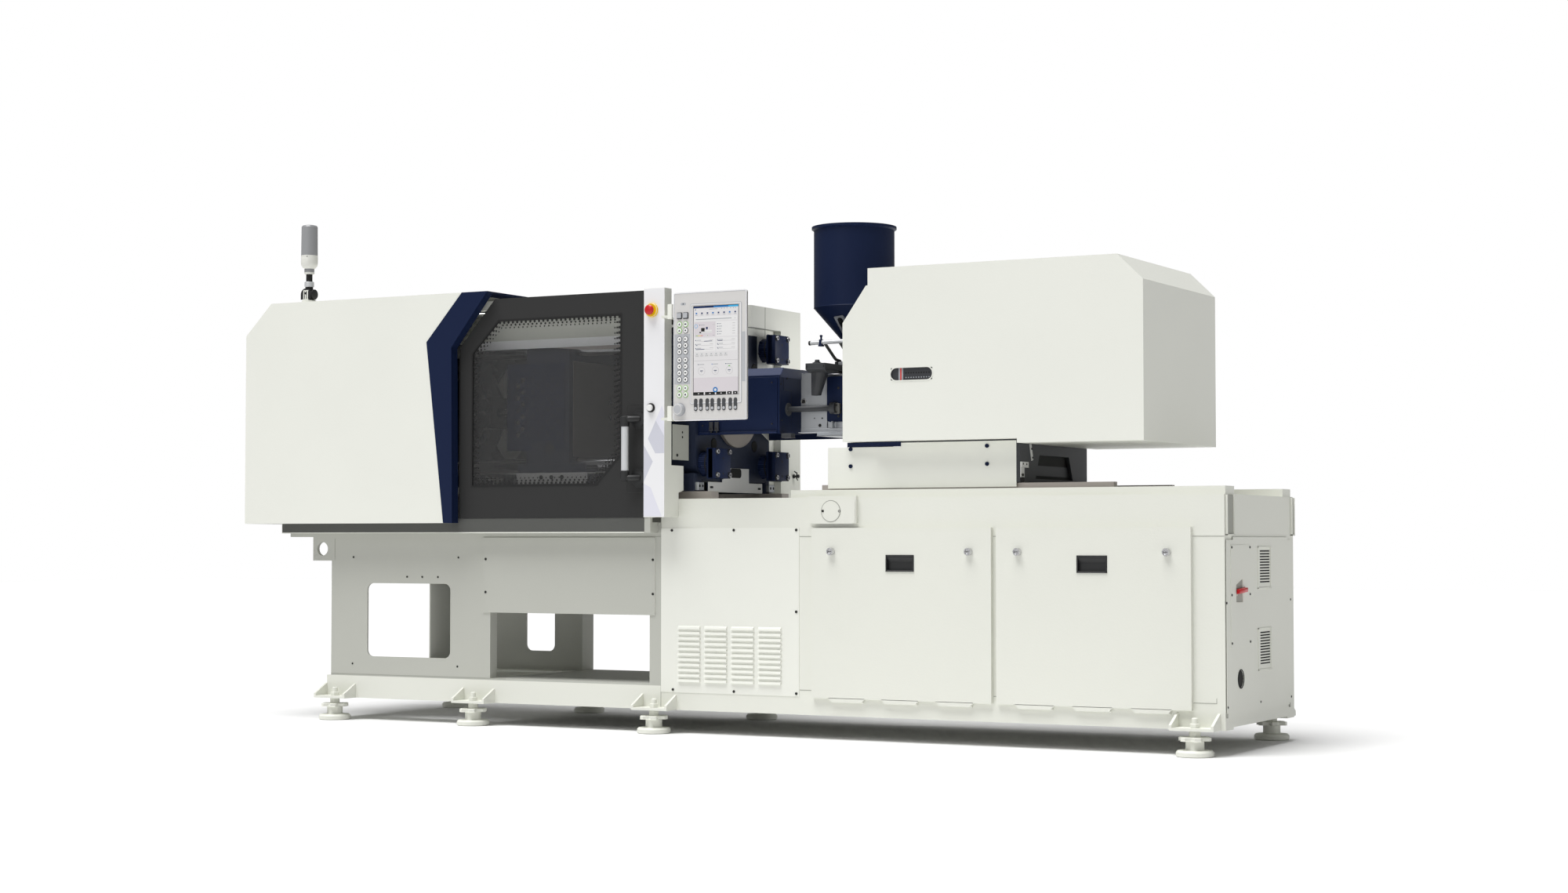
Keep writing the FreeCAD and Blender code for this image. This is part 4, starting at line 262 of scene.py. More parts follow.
# navy coat painted lighter than the sides as painted light, on upper faces and on the tie bar sleeves
# in shade
navy_painted_light = powder_coat("navy_powder_coat_painted_light", "#2B3658", 0.5, 6 * MM, 0.7 * MM, 0.05, 0.3)
# the fine line at the edge of a folded navy sheet; the same dark is painted shade under the clamp's
# rail and in a bore
edge_shade = powder_coat("navy_powder_coat_edge_and_painted_shade", "#0E1526", 0.6, 6 * MM, 0.1 * MM)
# bright grey sheet of stays and brackets: flat, with a faint cloudiness
stay_grey = machined("blank_steel_sheet", "#D8D8D6", 0.5, (1, 1, 1), 9 * MM, metallic=0.0)
# oiled drawn steel of the rods: dark grey with marks along the length
rod_grey = machined("oiled_steel", "#6A6966", 0.45, (0.2, 4, 4), 6 * MM, metallic=0.6)
# lining of the mould area: greenish grey paint, matt
lining = powder_coat("lining_paint", "#C6C8BE", 0.6, 7 * MM, 0.3 * MM)
# bright anodised edge of the lining: pale and brushed along its length
bright_sheet = machined("bright_anodised_sheet", "#F0F1F3", 0.5, (0.3, 8, 8), 5 * MM, metallic=0.1)
# a faint dark line where the gate's skin is pressed in: painted shade along the crease
edge_line = powder_coat("gate_lacquer_crease_shade", "#2A2A2A", 0.6, 4 * MM, 0.08 * MM)
# black glass without a lit picture
screen_black = moulded("black_glass", "#0D0E10", 0.12)
# smoke-tinted polycarbonate: a dark veil over what is behind it, with a clean gloss
tinted_pane, _, pane_surface = shader("tinted_polycarbonate", base_color=linear("#4E4E4E"),
    roughness=0.06, ior=1.58, alpha=0.35)
# lit liquid-crystal screen behind glass: pale grey that glows a little
lit_screen, _, _ = shader("liquid_crystal_screen", base_color=linear("#DEDBDC"), roughness=0.12,
    ior=1.5, emission_color=linear("#DEDBDC"), emission_strength=0.15)

finishes = {
    "cover_paint": cover_coat, "base_paint": base_coat, "navy_paint": navy_coat,
    "gate_paint": gate_coat, "column_paint": column_coat, "navy_casting": navy_cast,
    "bar_steel": hard_chrome, "way_steel": ground_steel, "link_steel": cast_link,
    "drive_black": motor_black, "carriage_grey": anthracite, "sheet_steel": zinc_sheet,
    "barrel_steel": tool_steel, "feed_steel": zinc_sheet, "dark_grey": anthracite,
    "panel_plastic": grey_abs, "screen_glass": lit_screen, "dial_black": grey_abs,
    "red_plastic": stop_red, "white_plastic": key_white, "window_clear": tinted_pane,
    "handle_silver": satin_aluminium, "foot_steel": base_coat, "knob_steel": nickel,
    "lamp_grey": lamp_lens,
}
slot_of = {row["node"]: row["material_slot"] for row in frame["record"]["subparts"]}
for name, thing in nodes.items():
    for spot in thing.material_slots:
        spot.material = finishes[slot_of[name]]
# nodes whose coat differs from their slot's: the columns behind their skin, and the stand, whose greyer
# coat is painted shade
for name, finish in (("rear_column", base_coat), ("control_column", base_coat),
        ("clamp_frame", stand_shade_coat)):
    for spot in nodes[name].material_slots:
        spot.material = finish


# -------- hand-built pieces
def set_in(along, first, second, depth):
    """A point from its two places across an axis and its depth along it."""
    return {"x": (depth, first, second), "y": (first, depth, second),
        "z": (first, second, depth)}[along]


# edges that turn by less than this are drawn round
ROUND_BELOW = math.radians(32)


def settle(name, mesh, body, replaced=()):
    """Scale a mesh to metres, smooth its round faces and hand it to the frame."""
    mesh.transform(Matrix.Scale(MM, 4))
    mesh.shade_smooth()
    mesh.set_sharp_from_angle(angle=ROUND_BELOW)
    piece = linked(name, mesh)
    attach(piece, body)
    if replaced:
        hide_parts(*replaced)
    return piece


class Piece:
    """One piece under construction, in millimetres, built from closed parts."""

    def __init__(self):
        self.mesh = bmesh.new()
        self.finishes = []

    def take(self, part, finish, edge=0.0, steps=1):
        """Join a closed part: break its edges, turn its faces outwards and give it a finish."""
        bmesh.ops.remove_doubles(part, verts=part.verts[:], dist=0.001)
        if edge:
            bmesh.ops.bevel(part, geom=part.edges[:], offset=edge, segments=steps, profile=0.5,
                affect="EDGES", clamp_overlap=True)
        bmesh.ops.recalc_face_normals(part, faces=part.faces[:])
        if finish not in self.finishes:
            self.finishes.append(finish)
        for face in part.faces:
            face.material_index = self.finishes.index(finish)
        moved = bpy.data.meshes.new("part")
        part.to_mesh(moved)
        part.free()
        self.mesh.from_mesh(moved)
        bpy.data.meshes.remove(moved)
        return self

    def slab(self, along, outline, start, stop, finish, edge=0.0, steps=1):
        """A flat outline given a thickness along an axis."""
        part = bmesh.new()
        near, far = [[part.verts.new(set_in(along, a, b, depth)) for a, b in outline]
                     for depth in (start, stop)]
        part.faces.new(near)
        part.faces.new(far)
        for i, corner in enumerate(near):
            j = (i + 1) % len(near)
            part.faces.new((corner, near[j], far[j], far[i]))
        return self.take(part, finish, edge, steps)

    def block(self, x, y, z, finish, edge=0.0, steps=1):
        """A box between pairs of values."""
        outline = [(x[0], y[0]), (x[1], y[0]), (x[1], y[1]), (x[0], y[1])]
        return self.slab("z", outline, z[0], z[1], finish, edge, steps)

    def turned(self, along, centre, profile, finish, sides=32, turn=0.0):
        """A turned part from pairs of radius and depth; a profile that closes makes a ring."""
        part = bmesh.new()
        closed = profile[0] == profile[-1]
        rings = []
        for radius, depth in profile[:-1] if closed else profile:
            count = sides if radius else 1
            angles = [2 * math.pi * i / sides + turn for i in range(count)]
            rings.append([part.verts.new(set_in(along, centre[0] + radius * math.cos(a),
                centre[1] + radius * math.sin(a), depth)) for a in angles])
        pairs = list(zip(rings, rings[1:]))
        if closed:
            pairs.append((rings[-1], rings[0]))
        for low, high in pairs:
            for i in range(sides):
                j = (i + 1) % sides
                corners = [low[i % len(low)], low[j % len(low)], high[j % len(high)],
                    high[i % len(high)]]
                part.faces.new(list(dict.fromkeys(corners)))
        if not closed:
            for ring in (rings[0], rings[-1]):
                if len(ring) > 1:
                    part.faces.new(ring)
        return self.take(part, finish)

    def pin(self, along, centre, radius, start, stop, finish, sides=32, turn=0.0):
        """A plain round pin or disc."""
        return self.turned(along, centre, [(radius, start), (radius, stop)], finish, sides, turn)

    def ring(self, along, centre, inner, outer, start, stop, finish, sides=32):
        """A plain round ring."""
        return self.turned(along, centre, [(inner, start), (outer, start), (outer, stop), (inner, stop),
            (inner, start)], finish, sides)

    def tube(self, path, radius, finish, sides=12):
        """A round bar bent along a path."""
        part = bmesh.new()
        points = [Vector(point) for point in path]
        side = None
        rings = []
        for i, point in enumerate(points):
            ahead = (points[min(i + 1, len(points) - 1)] - points[max(i - 1, 0)]).normalized()
            side = side - ahead * side.dot(ahead) if side else ahead.orthogonal()
            side.normalize()
            up = ahead.cross(side)
            turns = [2 * math.pi * k / sides for k in range(sides)]
            rings.append([part.verts.new(point + radius * (side * math.cos(t) + up * math.sin(t)))
                for t in turns])
        for low, high in zip(rings, rings[1:]):
            for k in range(sides):
                part.faces.new((low[k], low[(k + 1) % sides], high[(k + 1) % sides], high[k]))
        part.faces.new(rings[0])
        part.faces.new(rings[-1])
        return self.take(part, finish)

    def moved(self, matrix):
        """Turn and move all that has been drawn so far."""
        bmesh.ops.transform(self.mesh, matrix=matrix, verts=self.mesh.verts[:])
        return self

    def done(self, name, body, slot, *replaced):
        """Close the piece and hand it to the frame."""
        mesh = bpy.data.meshes.new(name)
        self.mesh.to_mesh(mesh)
        self.mesh.free()
        for finish in self.finishes:
            mesh.materials.append(finish)
        return settle(name, mesh, body, replaced)


def rectangle(left, right, low, high):
    """A rectangle as a loop of points."""
    return [(left, low), (right, low), (right, high), (left, high)]


def rounded(left, right, low, high, radius, steps=5):
    """A rectangle with round corners, as a loop of points."""
    loop = []
    for corner, (x, z) in enumerate(((right - radius, high - radius), (left + radius, high - radius),
            (left + radius, low + radius), (right - radius, low + radius))):
        for i in range(steps + 1):
            angle = math.pi / 2 * (corner + i / steps)
            loop.append((x + radius * math.cos(angle), z + radius * math.sin(angle)))
    return loop


def circle(x, z, radius, sides=20):
    """A circle as a loop of points."""
    return [(x + radius * math.cos(2 * math.pi * i / sides),
        z + radius * math.sin(2 * math.pi * i / sides)) for i in range(sides)]


# -------- Geometry Nodes trees
def new_tree(name, *sizes):
    """A tree with a geometry, its named sizes and a finish as inputs, and a geometry as output."""
    tree = bpy.data.node_groups.new(name, "GeometryNodeTree")
    tree.interface.new_socket("Geometry", in_out="INPUT", socket_type="NodeSocketGeometry")
    for size in sizes:
        kind = "NodeSocketObject" if size == "Part" else "NodeSocketFloat"
        tree.interface.new_socket(size, in_out="INPUT", socket_type=kind)
    tree.interface.new_socket("Finish", in_out="INPUT", socket_type="NodeSocketMaterial")
    tree.interface.new_socket("Geometry", in_out="OUTPUT", socket_type="NodeSocketGeometry")
    return tree, tree.nodes.new("NodeGroupInput").outputs


def end_tree(tree, geometry, finish):
    """Finish a tree: real geometry, its finish, and out."""
    real = add(tree, "GeometryNodeRealizeInstances", {"Geometry": geometry})
    dressed = add(tree, "GeometryNodeSetMaterial",
        {"Geometry": real.outputs["Geometry"], "Material": finish})
    add(tree, "NodeGroupOutput", {"Geometry": dressed.outputs["Geometry"]})


def set_on_points(tree, points, part, turned=True):
    """A part on each point, as large as the point's stored reach and facing its stored direction."""
    reach = add(tree, "GeometryNodeInputNamedAttribute", {"Name": "reach"}, data_type="FLOAT")
    given = {"Points": points, "Instance": part, "Scale": reach.outputs["Attribute"]}
    if turned:
        facing = add(tree, "GeometryNodeInputNamedAttribute", {"Name": "facing"},
            data_type="FLOAT_VECTOR")
        turn = add(tree, "FunctionNodeAlignRotationToVector", {"Vector": facing.outputs["Attribute"]},
                   axis="Z")
        given["Rotation"] = turn.outputs["Rotation"]
    return add(tree, "GeometryNodeInstanceOnPoints", given).outputs["Instances"]


# round heads on points: screws with a round socket, keys, printed dots
heads, given = new_tree("round_heads", "Radius", "Height", "Socket Share", "Socket Depth")
disc = add(heads, "GeometryNodeMeshCylinder", {"Vertices": 14, "Radius": given["Radius"],
    "Depth": given["Height"]})
crown = add(heads, "GeometryNodeExtrudeMesh", {"Mesh": disc.outputs["Mesh"],
    "Selection": disc.outputs["Top"], "Offset Scale": 0.0})
shrunk = add(heads, "GeometryNodeScaleElements",
    {"Geometry": crown.outputs["Mesh"], "Selection": crown.outputs["Top"],
    "Scale": given["Socket Share"]})
sunk = add(heads, "GeometryNodeExtrudeMesh", {"Mesh": shrunk.outputs["Geometry"],
    "Selection": crown.outputs["Top"], "Offset Scale": given["Socket Depth"]})
end_tree(heads, set_on_points(heads, given["Geometry"], sunk.outputs["Mesh"]), given["Finish"])

# a part repeated on points
repeats, given = new_tree("repeated_part", "Part")
source = add(repeats, "GeometryNodeObjectInfo", {"Object": given["Part"]})
end_tree(repeats, set_on_points(repeats, given["Geometry"], source.outputs["Geometry"]),
    given["Finish"])

# punched sheet: loops of edges are the outline and the slots, loose points are the round holes
punched, given = new_tree("punched_sheet", "Thickness")
loops = add(punched, "GeometryNodeMeshToCurve", {"Mesh": given["Geometry"]})
near_edges = add(punched, "GeometryNodeInputMeshVertexNeighbors")
alone = add(punched, "FunctionNodeCompare", {"A": near_edges.outputs["Vertex Count"], "B": 0},
            data_type="INT", operation="EQUAL")
centres = add(punched, "GeometryNodeMeshToPoints",
    {"Mesh": given["Geometry"], "Selection": alone.outputs["Result"]})
bore = add(punched, "GeometryNodeCurvePrimitiveCircle", {"Resolution": 16, "Radius": 1.0})
bores = set_on_points(punched, centres.outputs["Points"], bore.outputs["Curve"], turned=False)
real_bores = add(punched, "GeometryNodeRealizeInstances", {"Geometry": bores})
all_loops = add(punched, "GeometryNodeJoinGeometry",
    {"Geometry": [loops.outputs["Curve"], real_bores.outputs["Geometry"]]})
skin = add(punched, "GeometryNodeFillCurve", {"Curve": all_loops.outputs["Geometry"]})
raised = add(punched, "GeometryNodeExtrudeMesh",
    {"Mesh": skin.outputs["Mesh"], "Offset Scale": given["Thickness"], "Individual": False})
under = add(punched, "GeometryNodeFlipFaces", {"Mesh": skin.outputs["Mesh"]})
closed_sheet = add(punched, "GeometryNodeJoinGeometry",
    {"Geometry": [raised.outputs["Mesh"], under.outputs["Mesh"]]})
welded = add(punched, "GeometryNodeMergeByDistance",
    {"Geometry": closed_sheet.outputs["Geometry"], "Distance": 0.001})
end_tree(punched, welded.outputs["Geometry"], given["Finish"])


def grow(tree, points, edges=(), facings=None, reaches=None, **sizes):
    """Run a tree on points and edges, and hand back the plain mesh that it makes."""
    seed = bpy.data.meshes.new("seed")
    seed.from_pydata([tuple(point) for point in points], list(edges), [])
    count = len(seed.vertices)
    facing = seed.attributes.new("facing", "FLOAT_VECTOR", "POINT")
    facing.data.foreach_set("vector", [v for one in (facings or [(0, 0, 1)] * count) for v in one])
    reach = seed.attributes.new("reach", "FLOAT", "POINT")
    reach.data.foreach_set("value", reaches or [1.0] * count)
    holder = linked("seed", seed)
    step = holder.modifiers.new("grow", "NODES")
    step.node_group = tree
    for item in tree.interface.items_tree:
        if item.in_out == "INPUT" and item.name in sizes:
            step[item.identifier] = sizes[item.name]
    graph = bpy.context.evaluated_depsgraph_get()
    made = bpy.data.meshes.new_from_object(holder.evaluated_get(graph), preserve_all_data_layers=False,
        depsgraph=graph)
    bpy.data.objects.remove(holder)
    return made


FACE = {"-y": (0, -1, 0), "+y": (0, 1, 0), "+x": (1, 0, 0)}


def round_heads(name, spots, face, radius, height, finish, body, share=0.55, depth=None,
                reaches=None):
    """Screw heads, keys or printed dots, one at each spot, looking along a face's direction."""
    depth = -height * 0.35 if depth is None else depth
    mesh = grow(heads, spots, facings=[FACE[face]] * len(spots), reaches=reaches,
                **{"Radius": radius, "Height": height * 2, "Socket Share": share,
                   "Socket Depth": depth, "Finish": finish})
    return settle(name, mesh, body)


def repeated(name, part, spots, finish, body, slot, *replaced):
    """A part drawn once, repeated at each spot."""
    mesh = bpy.data.meshes.new("part")
    part.mesh.to_mesh(mesh)
    pattern = linked("pattern", mesh)
    grown = grow(repeats, spots, **{"Part": pattern, "Finish": finish})
    bpy.data.objects.remove(pattern)
    return settle(name, grown, body, replaced)


# the columns of each turn say where a sheet's right, up and thickness go
TURNS = {
    "-y": Matrix(((1, 0, 0), (0, 0, -1), (0, 1, 0))),
    "+x": Matrix(((0, 0, 1), (1, 0, 0), (0, 1, 0))),
    "+y": Matrix(((-1, 0, 0), (0, 0, 1), (0, 1, 0))),
}


def punched_sheet(name, outlines, holes, face, depth, thickness, finish, body, slot, *replaced):
    """Sheet cut to outlines and slots with round holes, standing at a depth and facing a way."""
    flip = -1 if face == "+y" else 1
    points, edges = [], []
    for outline in outlines:
        start = len(points)
        points += [(flip * a, b, 0) for a, b in outline]
        edges += [(start + i, start + (i + 1) % len(outline)) for i in range(len(outline))]
    reaches = [1.0] * len(points) + [radius for _, _, radius in holes]
    points += [(flip * a, b, 0) for a, b, _ in holes]
    mesh = grow(punched, points, edges, reaches=reaches, **{"Thickness": thickness, "Finish": finish})
    mesh.transform(TURNS[face].to_4x4())
    mesh.transform(Matrix.Translation(set_in(face[1], 0, 0, depth)))
    return settle(name, mesh, body, replaced)


# -------- levelling feet
FOOT_SPOTS = [(x, y, 0) for x in (-1812, -1064, -157, 2159) for y in (-450, 450)]
foot = Piece()
foot.turned("z", (0, 0), [(64, 0), (69, 4), (69, 17), (63, 24), (36, 25), (34, 30), (34, 58)],
    base_coat, 40)
star = []
for arm in range(6):
    for radius, shift in ((40, -24), (60, -11), (60, 11), (40, 24)):
        angle = math.radians(60 * arm + shift)
        star.append((radius * math.cos(angle), radius * math.sin(angle)))
foot.slab("z", star, 58, 72, base_coat, 1.5)
# hexagon nuts and the threaded stem
foot.turned("z", (0, 0), [(24, 72), (22, 76), (22, 92), (20, 94.5)], base_coat, 6)
foot.turned("z", (0, 0), [(19, 105.5), (19, 119), (16, 121)], base_coat, 6)
foot.turned("z", (0, 0), [(11.5, 70), (11.5, 138), (8, 141.5)], base_coat, 18)
repeated("levelling_foot_set", foot, FOOT_SPOTS, base_coat, "frame", "base_paint", "levelling_feet")

# -------- base: screws, seams, hooks and grips
# the base's front wall, the cabinet's end sheet and the doors' faces
FRONT, END, DOOR_FACE = -412, 2266, -430
round_heads("base_panel_screws", [(x, -414, z)
    for x, z in ((-94, 829), (199, 829), (487, 829), (487, 503), (487, 178), (200, 178), (-88, 178))]
    + [(x, -416, z) for x in (-1026, -184) for z in (708, 567)], "-y", 5.5, 2.2, dark_screw, "frame")
round_heads("clamp_frame_plugs", [(x, FRONT, z)
    for x, z in ((-1744, 714), (-1173, 714), (-1448, 629), (-1366, 629), (-1282, 629), (-1746, 245),
    (-1176, 245), (-88, 824))], "-y", 4.5, 1.2, dark_screw, "frame")

seams = Piece()
for left, right, z in ((-1041, -146, 803), (501, 560, 803), (1343, 1360, 803), (2142, 2263, 803),
                       (501, 560, 193), (1343, 1360, 193), (2142, 2230, 193)):
    seams.block((left, right), (FRONT - 0.8, FRONT + 1), (z - 1.2, z + 1.2), seam_shade)
for x, low, high in ((-147, 100, 955), (2230, 193, 212)):
    seams.block((x - 1.0, x + 1.0), (FRONT - 0.8, FRONT + 1), (low, high), seam_shade)
seams.block((-1866, -922), (FRONT - 0.8, FRONT + 1), (197.5, 200.5), seam_shade)
seams.block((-1849.5, -1847), (FRONT - 0.8, FRONT + 1), (700, 796), seam_shade)
seams.done("base_seams", "frame", "base_paint")

# mounting rail under the clamp: its face in dark grey, painted shadow under the cover, its bright lower
# edge and a painted shade line under it; then the chute panel's skin in the stand's greyer coat,
# painted shade too
RAIL, CHUTE_PANEL = -471, -416
rail = Piece()
rail.block((-2099, -192), (RAIL - 1.2, RAIL - 0.1), (823, 881.5), rail_painted_shadow, 0.4)
rail.block((-2099, -192), (RAIL - 2.4, RAIL - 0.1), (819, 823), base_coat, 0.4)
rail.block((-1041, -230), (FRONT - 1.0, FRONT - 0.2), (795, 798.5), edge_shade)
rail.block((-1041, -175), (CHUTE_PANEL - 0.7, CHUTE_PANEL - 0.05), (480, 800), stand_shade_coat, 0.2)
rail.done("clamp_rail_face", "frame", "base_paint")
# stiffening web behind the stand's window
web = Piece()
web.block((-1334, -1328), (-403.5, -200), (204, 799), stand_shade_coat, 0.8)
web.done("clamp_frame_web", "frame", "base_paint")

DOOR_WIDTH, KNOB_LEVEL = 778, 744
for side, start in (("left", 563), ("right", 1362)):
    cup = Piece()
    left, right, low, high = start + 333, start + 449, 669, 728
    for x, z in (((left - 3, left + 3), (low - 3, high + 3)),
            ((right - 3, right + 3), (low - 3, high + 3)), ((left, right), (low - 3, low + 3)),
            ((left, right), (high - 3, high + 3))):
        cup.block(x, (DOOR_FACE - 3, DOOR_FACE + 2), z, black_nylon, 1.0)
    cup.block((left, right), (-419, -417.5), (low, high), black_nylon)
    for x, z in (((left, left + 2), (low, high)), ((right - 2, right), (low, high)),
            ((left, right), (low, low + 2))):
        cup.block(x, (DOOR_FACE, -418), z, black_nylon)
    cup.slab("x", [(DOOR_FACE, high), (DOOR_FACE, high - 9), (-419, high - 26), (-419, high)], left,
        right, black_nylon, 0.8)
    cup.done(f"door_grip_{side}", f"door_{side}", "dark_grey")
    lip = Piece()
    for share in (0.2, 0.5, 0.8):
        middle = start + DOOR_WIDTH * share
        lip.slab("y", [(middle - 78, 166), (middle - 66, 152), (middle + 66, 152), (middle + 78, 166)],
                 DOOR_FACE, -415, base_coat, 0.8)
    lip.done(f"door_foot_{side}", f"door_{side}", "base_paint")
knob = [(5, -416), (5, -430), (15, -431), (15, -446), (13.5, -449.5), (9, -449.5), (8, -447.5),
    (0, -447.5)]
for name, node_name, x in (("knob_ll", "door_knob_left_left", 654),
        ("knob_lr", "door_knob_left_right", 1250), ("knob_rl", "door_knob_right_left", 1453),
        ("knob_rr", "door_knob_right_right", 2049)):
    turn = Piece().turned("y", (x, KNOB_LEVEL), knob, nickel, 32)
    turn.block((x - 7, x + 7), (-449, -447.2), (KNOB_LEVEL - 1, KNOB_LEVEL + 1), dark_screw)
    turn.done(f"quarter_turn_{name}", name, "knob_steel", node_name)

# -------- junction cover above the left door
junction = Piece()
junction.slab("y", rounded(564, 757, 855, 950, 10), -432, FRONT, base_coat, 1.5)
junction.slab("y", circle(652, 903, 40, 36), -433.5, -431, base_coat, 0.6)
junction.ring("y", (652, 903), 40.5, 43.5, -432.6, -431, seam_shade, 40)
junction.done("junction_cover", "frame", "base_paint")
round_heads("junction_screws", [(617, -433.5, 904), (690, -432, 903)], "-y", 5, 2, dark_screw, "frame")

# -------- end of the cabinet
GRILLES = ((320, 442), (628, 750))
SLOT_PITCH, SLOT_TALL = 10.6, 5.4
slots = [rectangle(-18, 101, low + i * SLOT_PITCH, low + i * SLOT_PITCH + SLOT_TALL)
         for low, _ in GRILLES for i in range(12)]
punched_sheet("cabinet_end_sheet",
              [[(-405, 149), (366, 149), (366, 790), (325, 790), (325, 800), (-330, 800), (-330, 790),
                (-405, 790)], rectangle(-300, -226, 560, 643)] + slots,
              [(-250, 276, 32)], "+x", END, 1.6, base_coat, "frame", "base_paint")
end_trim = Piece()
for low, high in GRILLES:
    left, right, bottom, top = -47, 111, low - 23, high + 15
    for y, z in (((left, left + 5), (bottom, top)), ((right - 5, right), (bottom, top)),
                 ((left, right), (top - 5, top)), ((left, right), (bottom, bottom + 5))):
        end_trim.block((END + 1, END + 5), y, z, base_coat, 0.8)
    end_trim.block((2264.5, 2265.5), (-22, 105), (low - 4, high + 4), seal_rubber_and_hole_shade)
end_trim.turned("x", (-250, 276), [(32, 2264), (36, 2264), (36, 2269), (34, 2270), (32, 2270),
    (32, 2264)], seal_rubber_and_hole_shade, 40)
end_trim.pin("x", (-250, 276), 32, 2264, 2265, seal_rubber_and_hole_shade, 40)
for low, high in ((-402, -317), (378, 411)):
    for y, z in (((low, low + 5), (806, 955)), ((low, high), (806, 811)),
            ((high - 5, high), (806, 955))):
        end_trim.block((END - 2.5, END + 6), y, z, base_coat, 0.6)
    # the channel's back between its flanges: painted shade in its hollow
    end_trim.block((2264, 2266.5), (low + 5, high - 5), (811, 955), seam_shade)
for y, z in ((-414, 149), (333, 147)):
    end_trim.slab("x", rounded(y + 6, y + 16, z - 9, z + 9, 4.9), 2264, 2268.5, seam_shade)
end_trim.done("cabinet_end_trim", "frame", "base_paint")
end_screws = ((-404, 559), (358, 557), (-19, 179), (-398, 179), (361, 178))
round_heads("cabinet_end_screws", [(END + 1.6, y, z) for y, z in end_screws]
            + [(END + 4, y, z) for y in (-352, -143) for z in (762, 587, 410)],
            "+x", 4.5, 1.6, dark_screw, "frame")


# -------- back of the fixed platen
# height of the machine's axis, and how far the tie bars stand from it
AXIS, TIE = 1358, 252
NUT_SPOTS = [(side * TIE, AXIS + rise * TIE) for side in (-1, 1) for rise in (-1, 1)]
caps = Piece()
for y, z in NUT_SPOTS:
    square = [(y - 62, z - 62), (y + 62, z - 62), (y + 62, z + 62), (y - 62, z + 62)]
    caps.slab("x", square, 17, 55, navy_coat, 2.5, 2)
    # the sleeve is in the lighter navy: painted light on a part in shade
    caps.pin("x", (y, z), 50, -37.5, 17.5, navy_painted_light, 40)
    caps.turned("x", (y, z), [(54, -37.5), (54, -24), (50.5, -24)], navy_coat, 6, 0.3)
    caps.pin("x", (y, z), 50.8, -8, -2, seal_rubber_and_hole_shade, 40)
    # dark discs on the cap's face: painted shade in its small holes
    for shift in (21, -42):
        caps.pin("x", (y, z + shift), 5, 54, 55.2, seal_rubber_and_hole_shade, 14)
caps.done("tie_bar_caps", "frame", "navy_paint")
BOLT_SPOTS = [(y + a, z + b) for y, z in NUT_SPOTS for a in (-49, 49) for b in (-48, 48)]
round_heads("cap_bolts", [(57.5, y, z) for y, z in BOLT_SPOTS], "+x", 9.5, 4.5, nickel, "frame",
    0.55, -5)
cap_sockets = Piece()
# painted shade: a dark disc in each socket and a dark ring around each head
for spot in BOLT_SPOTS:
    cap_sockets.pin("x", spot, 5.8, 56, 57.8, seal_rubber_and_hole_shade, 6)
    cap_sockets.ring("x", spot, 9.5, 13.5, 54.5, 55.4, seal_rubber_and_hole_shade, 20)
cap_sockets.done("cap_bolt_sockets", "frame", "bar_steel")

platen_back = Piece()
platen_back.turned("x", (0, AXIS), [(170, -38), (178, -34), (178, -20), (172, -17), (60, -17),
    (60, -38), (170, -38)], milled_face, 64)
for side in (-1, 1):
    for rise in (-1, 1):
        platen_back.pin("x", (side * 171, AXIS + rise * 167), 22, -37.6, -36.8, seal_rubber_and_hole_shade, 28)
    y0, y1 = sorted((side * 276, side * 324))
    platen_back.block((-60, -22), (y0, y1), (995, 1029), zinc_sheet, 2)
    for y in (side * 288, side * 312):
        platen_back.pin("x", (y, 1013), 6, -22.4, -21.4, seal_rubber_and_hole_shade, 18)
platen_back.slab("x", [(-229, 990), (229, 990), (229, 1031), (113, 1031), (113, 1092), (-113, 1092),
                       (-113, 1031), (-229, 1031)], -32, -30.5, stay_grey, 0.8)
# dark slots and the upper tab's dark recess: painted shade in the plate's openings
for side in (-1, 1):
    platen_back.slab("x", rounded(side * 202 - 13, side * 202 + 13, 1005, 1014, 4.4), -30.6, -29.8,
        seal_rubber_and_hole_shade)
platen_back.slab("x", rounded(-46, 46, 1052, 1092, 14), -30.6, -29.8, seal_rubber_and_hole_shade)
platen_back.done("platen_back_fittings", "frame", "link_steel")

# -------- nozzle guard
HOOD_END = 348
hood = Piece()
for y, z in (((-269, -267), (1400, 1458)), ((-269, -201), (1400, 1402)), ((-202, -200), (1236, 1402)),
             ((-299, -297), (1226, 1460))):
    hood.block((HOOD_END - 0.4, HOOD_END + 0.8), y, z, edge_shade)
for y in (-227, 227):
    hood.ring("x", (y, 1323), 13, 27, HOOD_END - 0.5, HOOD_END + 2, grommet_rubber, 40)
hood.pin("x", (-289, 1424), 4, 347.8, 348.8, seal_rubber_and_hole_shade, 14)
hood.done("nozzle_guard_fittings", "frame", "navy_paint")
round_heads("nozzle_guard_screws", [(348.4, -236, 1450), (348.4, -281, 1277)], "+x", 3.6, 1.6,
    dark_screw, "frame")
round_heads("nozzle_flap_screws", [(x, -310.3, z)
    for x, z in ((317, 1261), (317, 1430), (-10, 1261), (-10, 1430))], "-y", 3.4, 1.4, dark_screw,
    "flap")

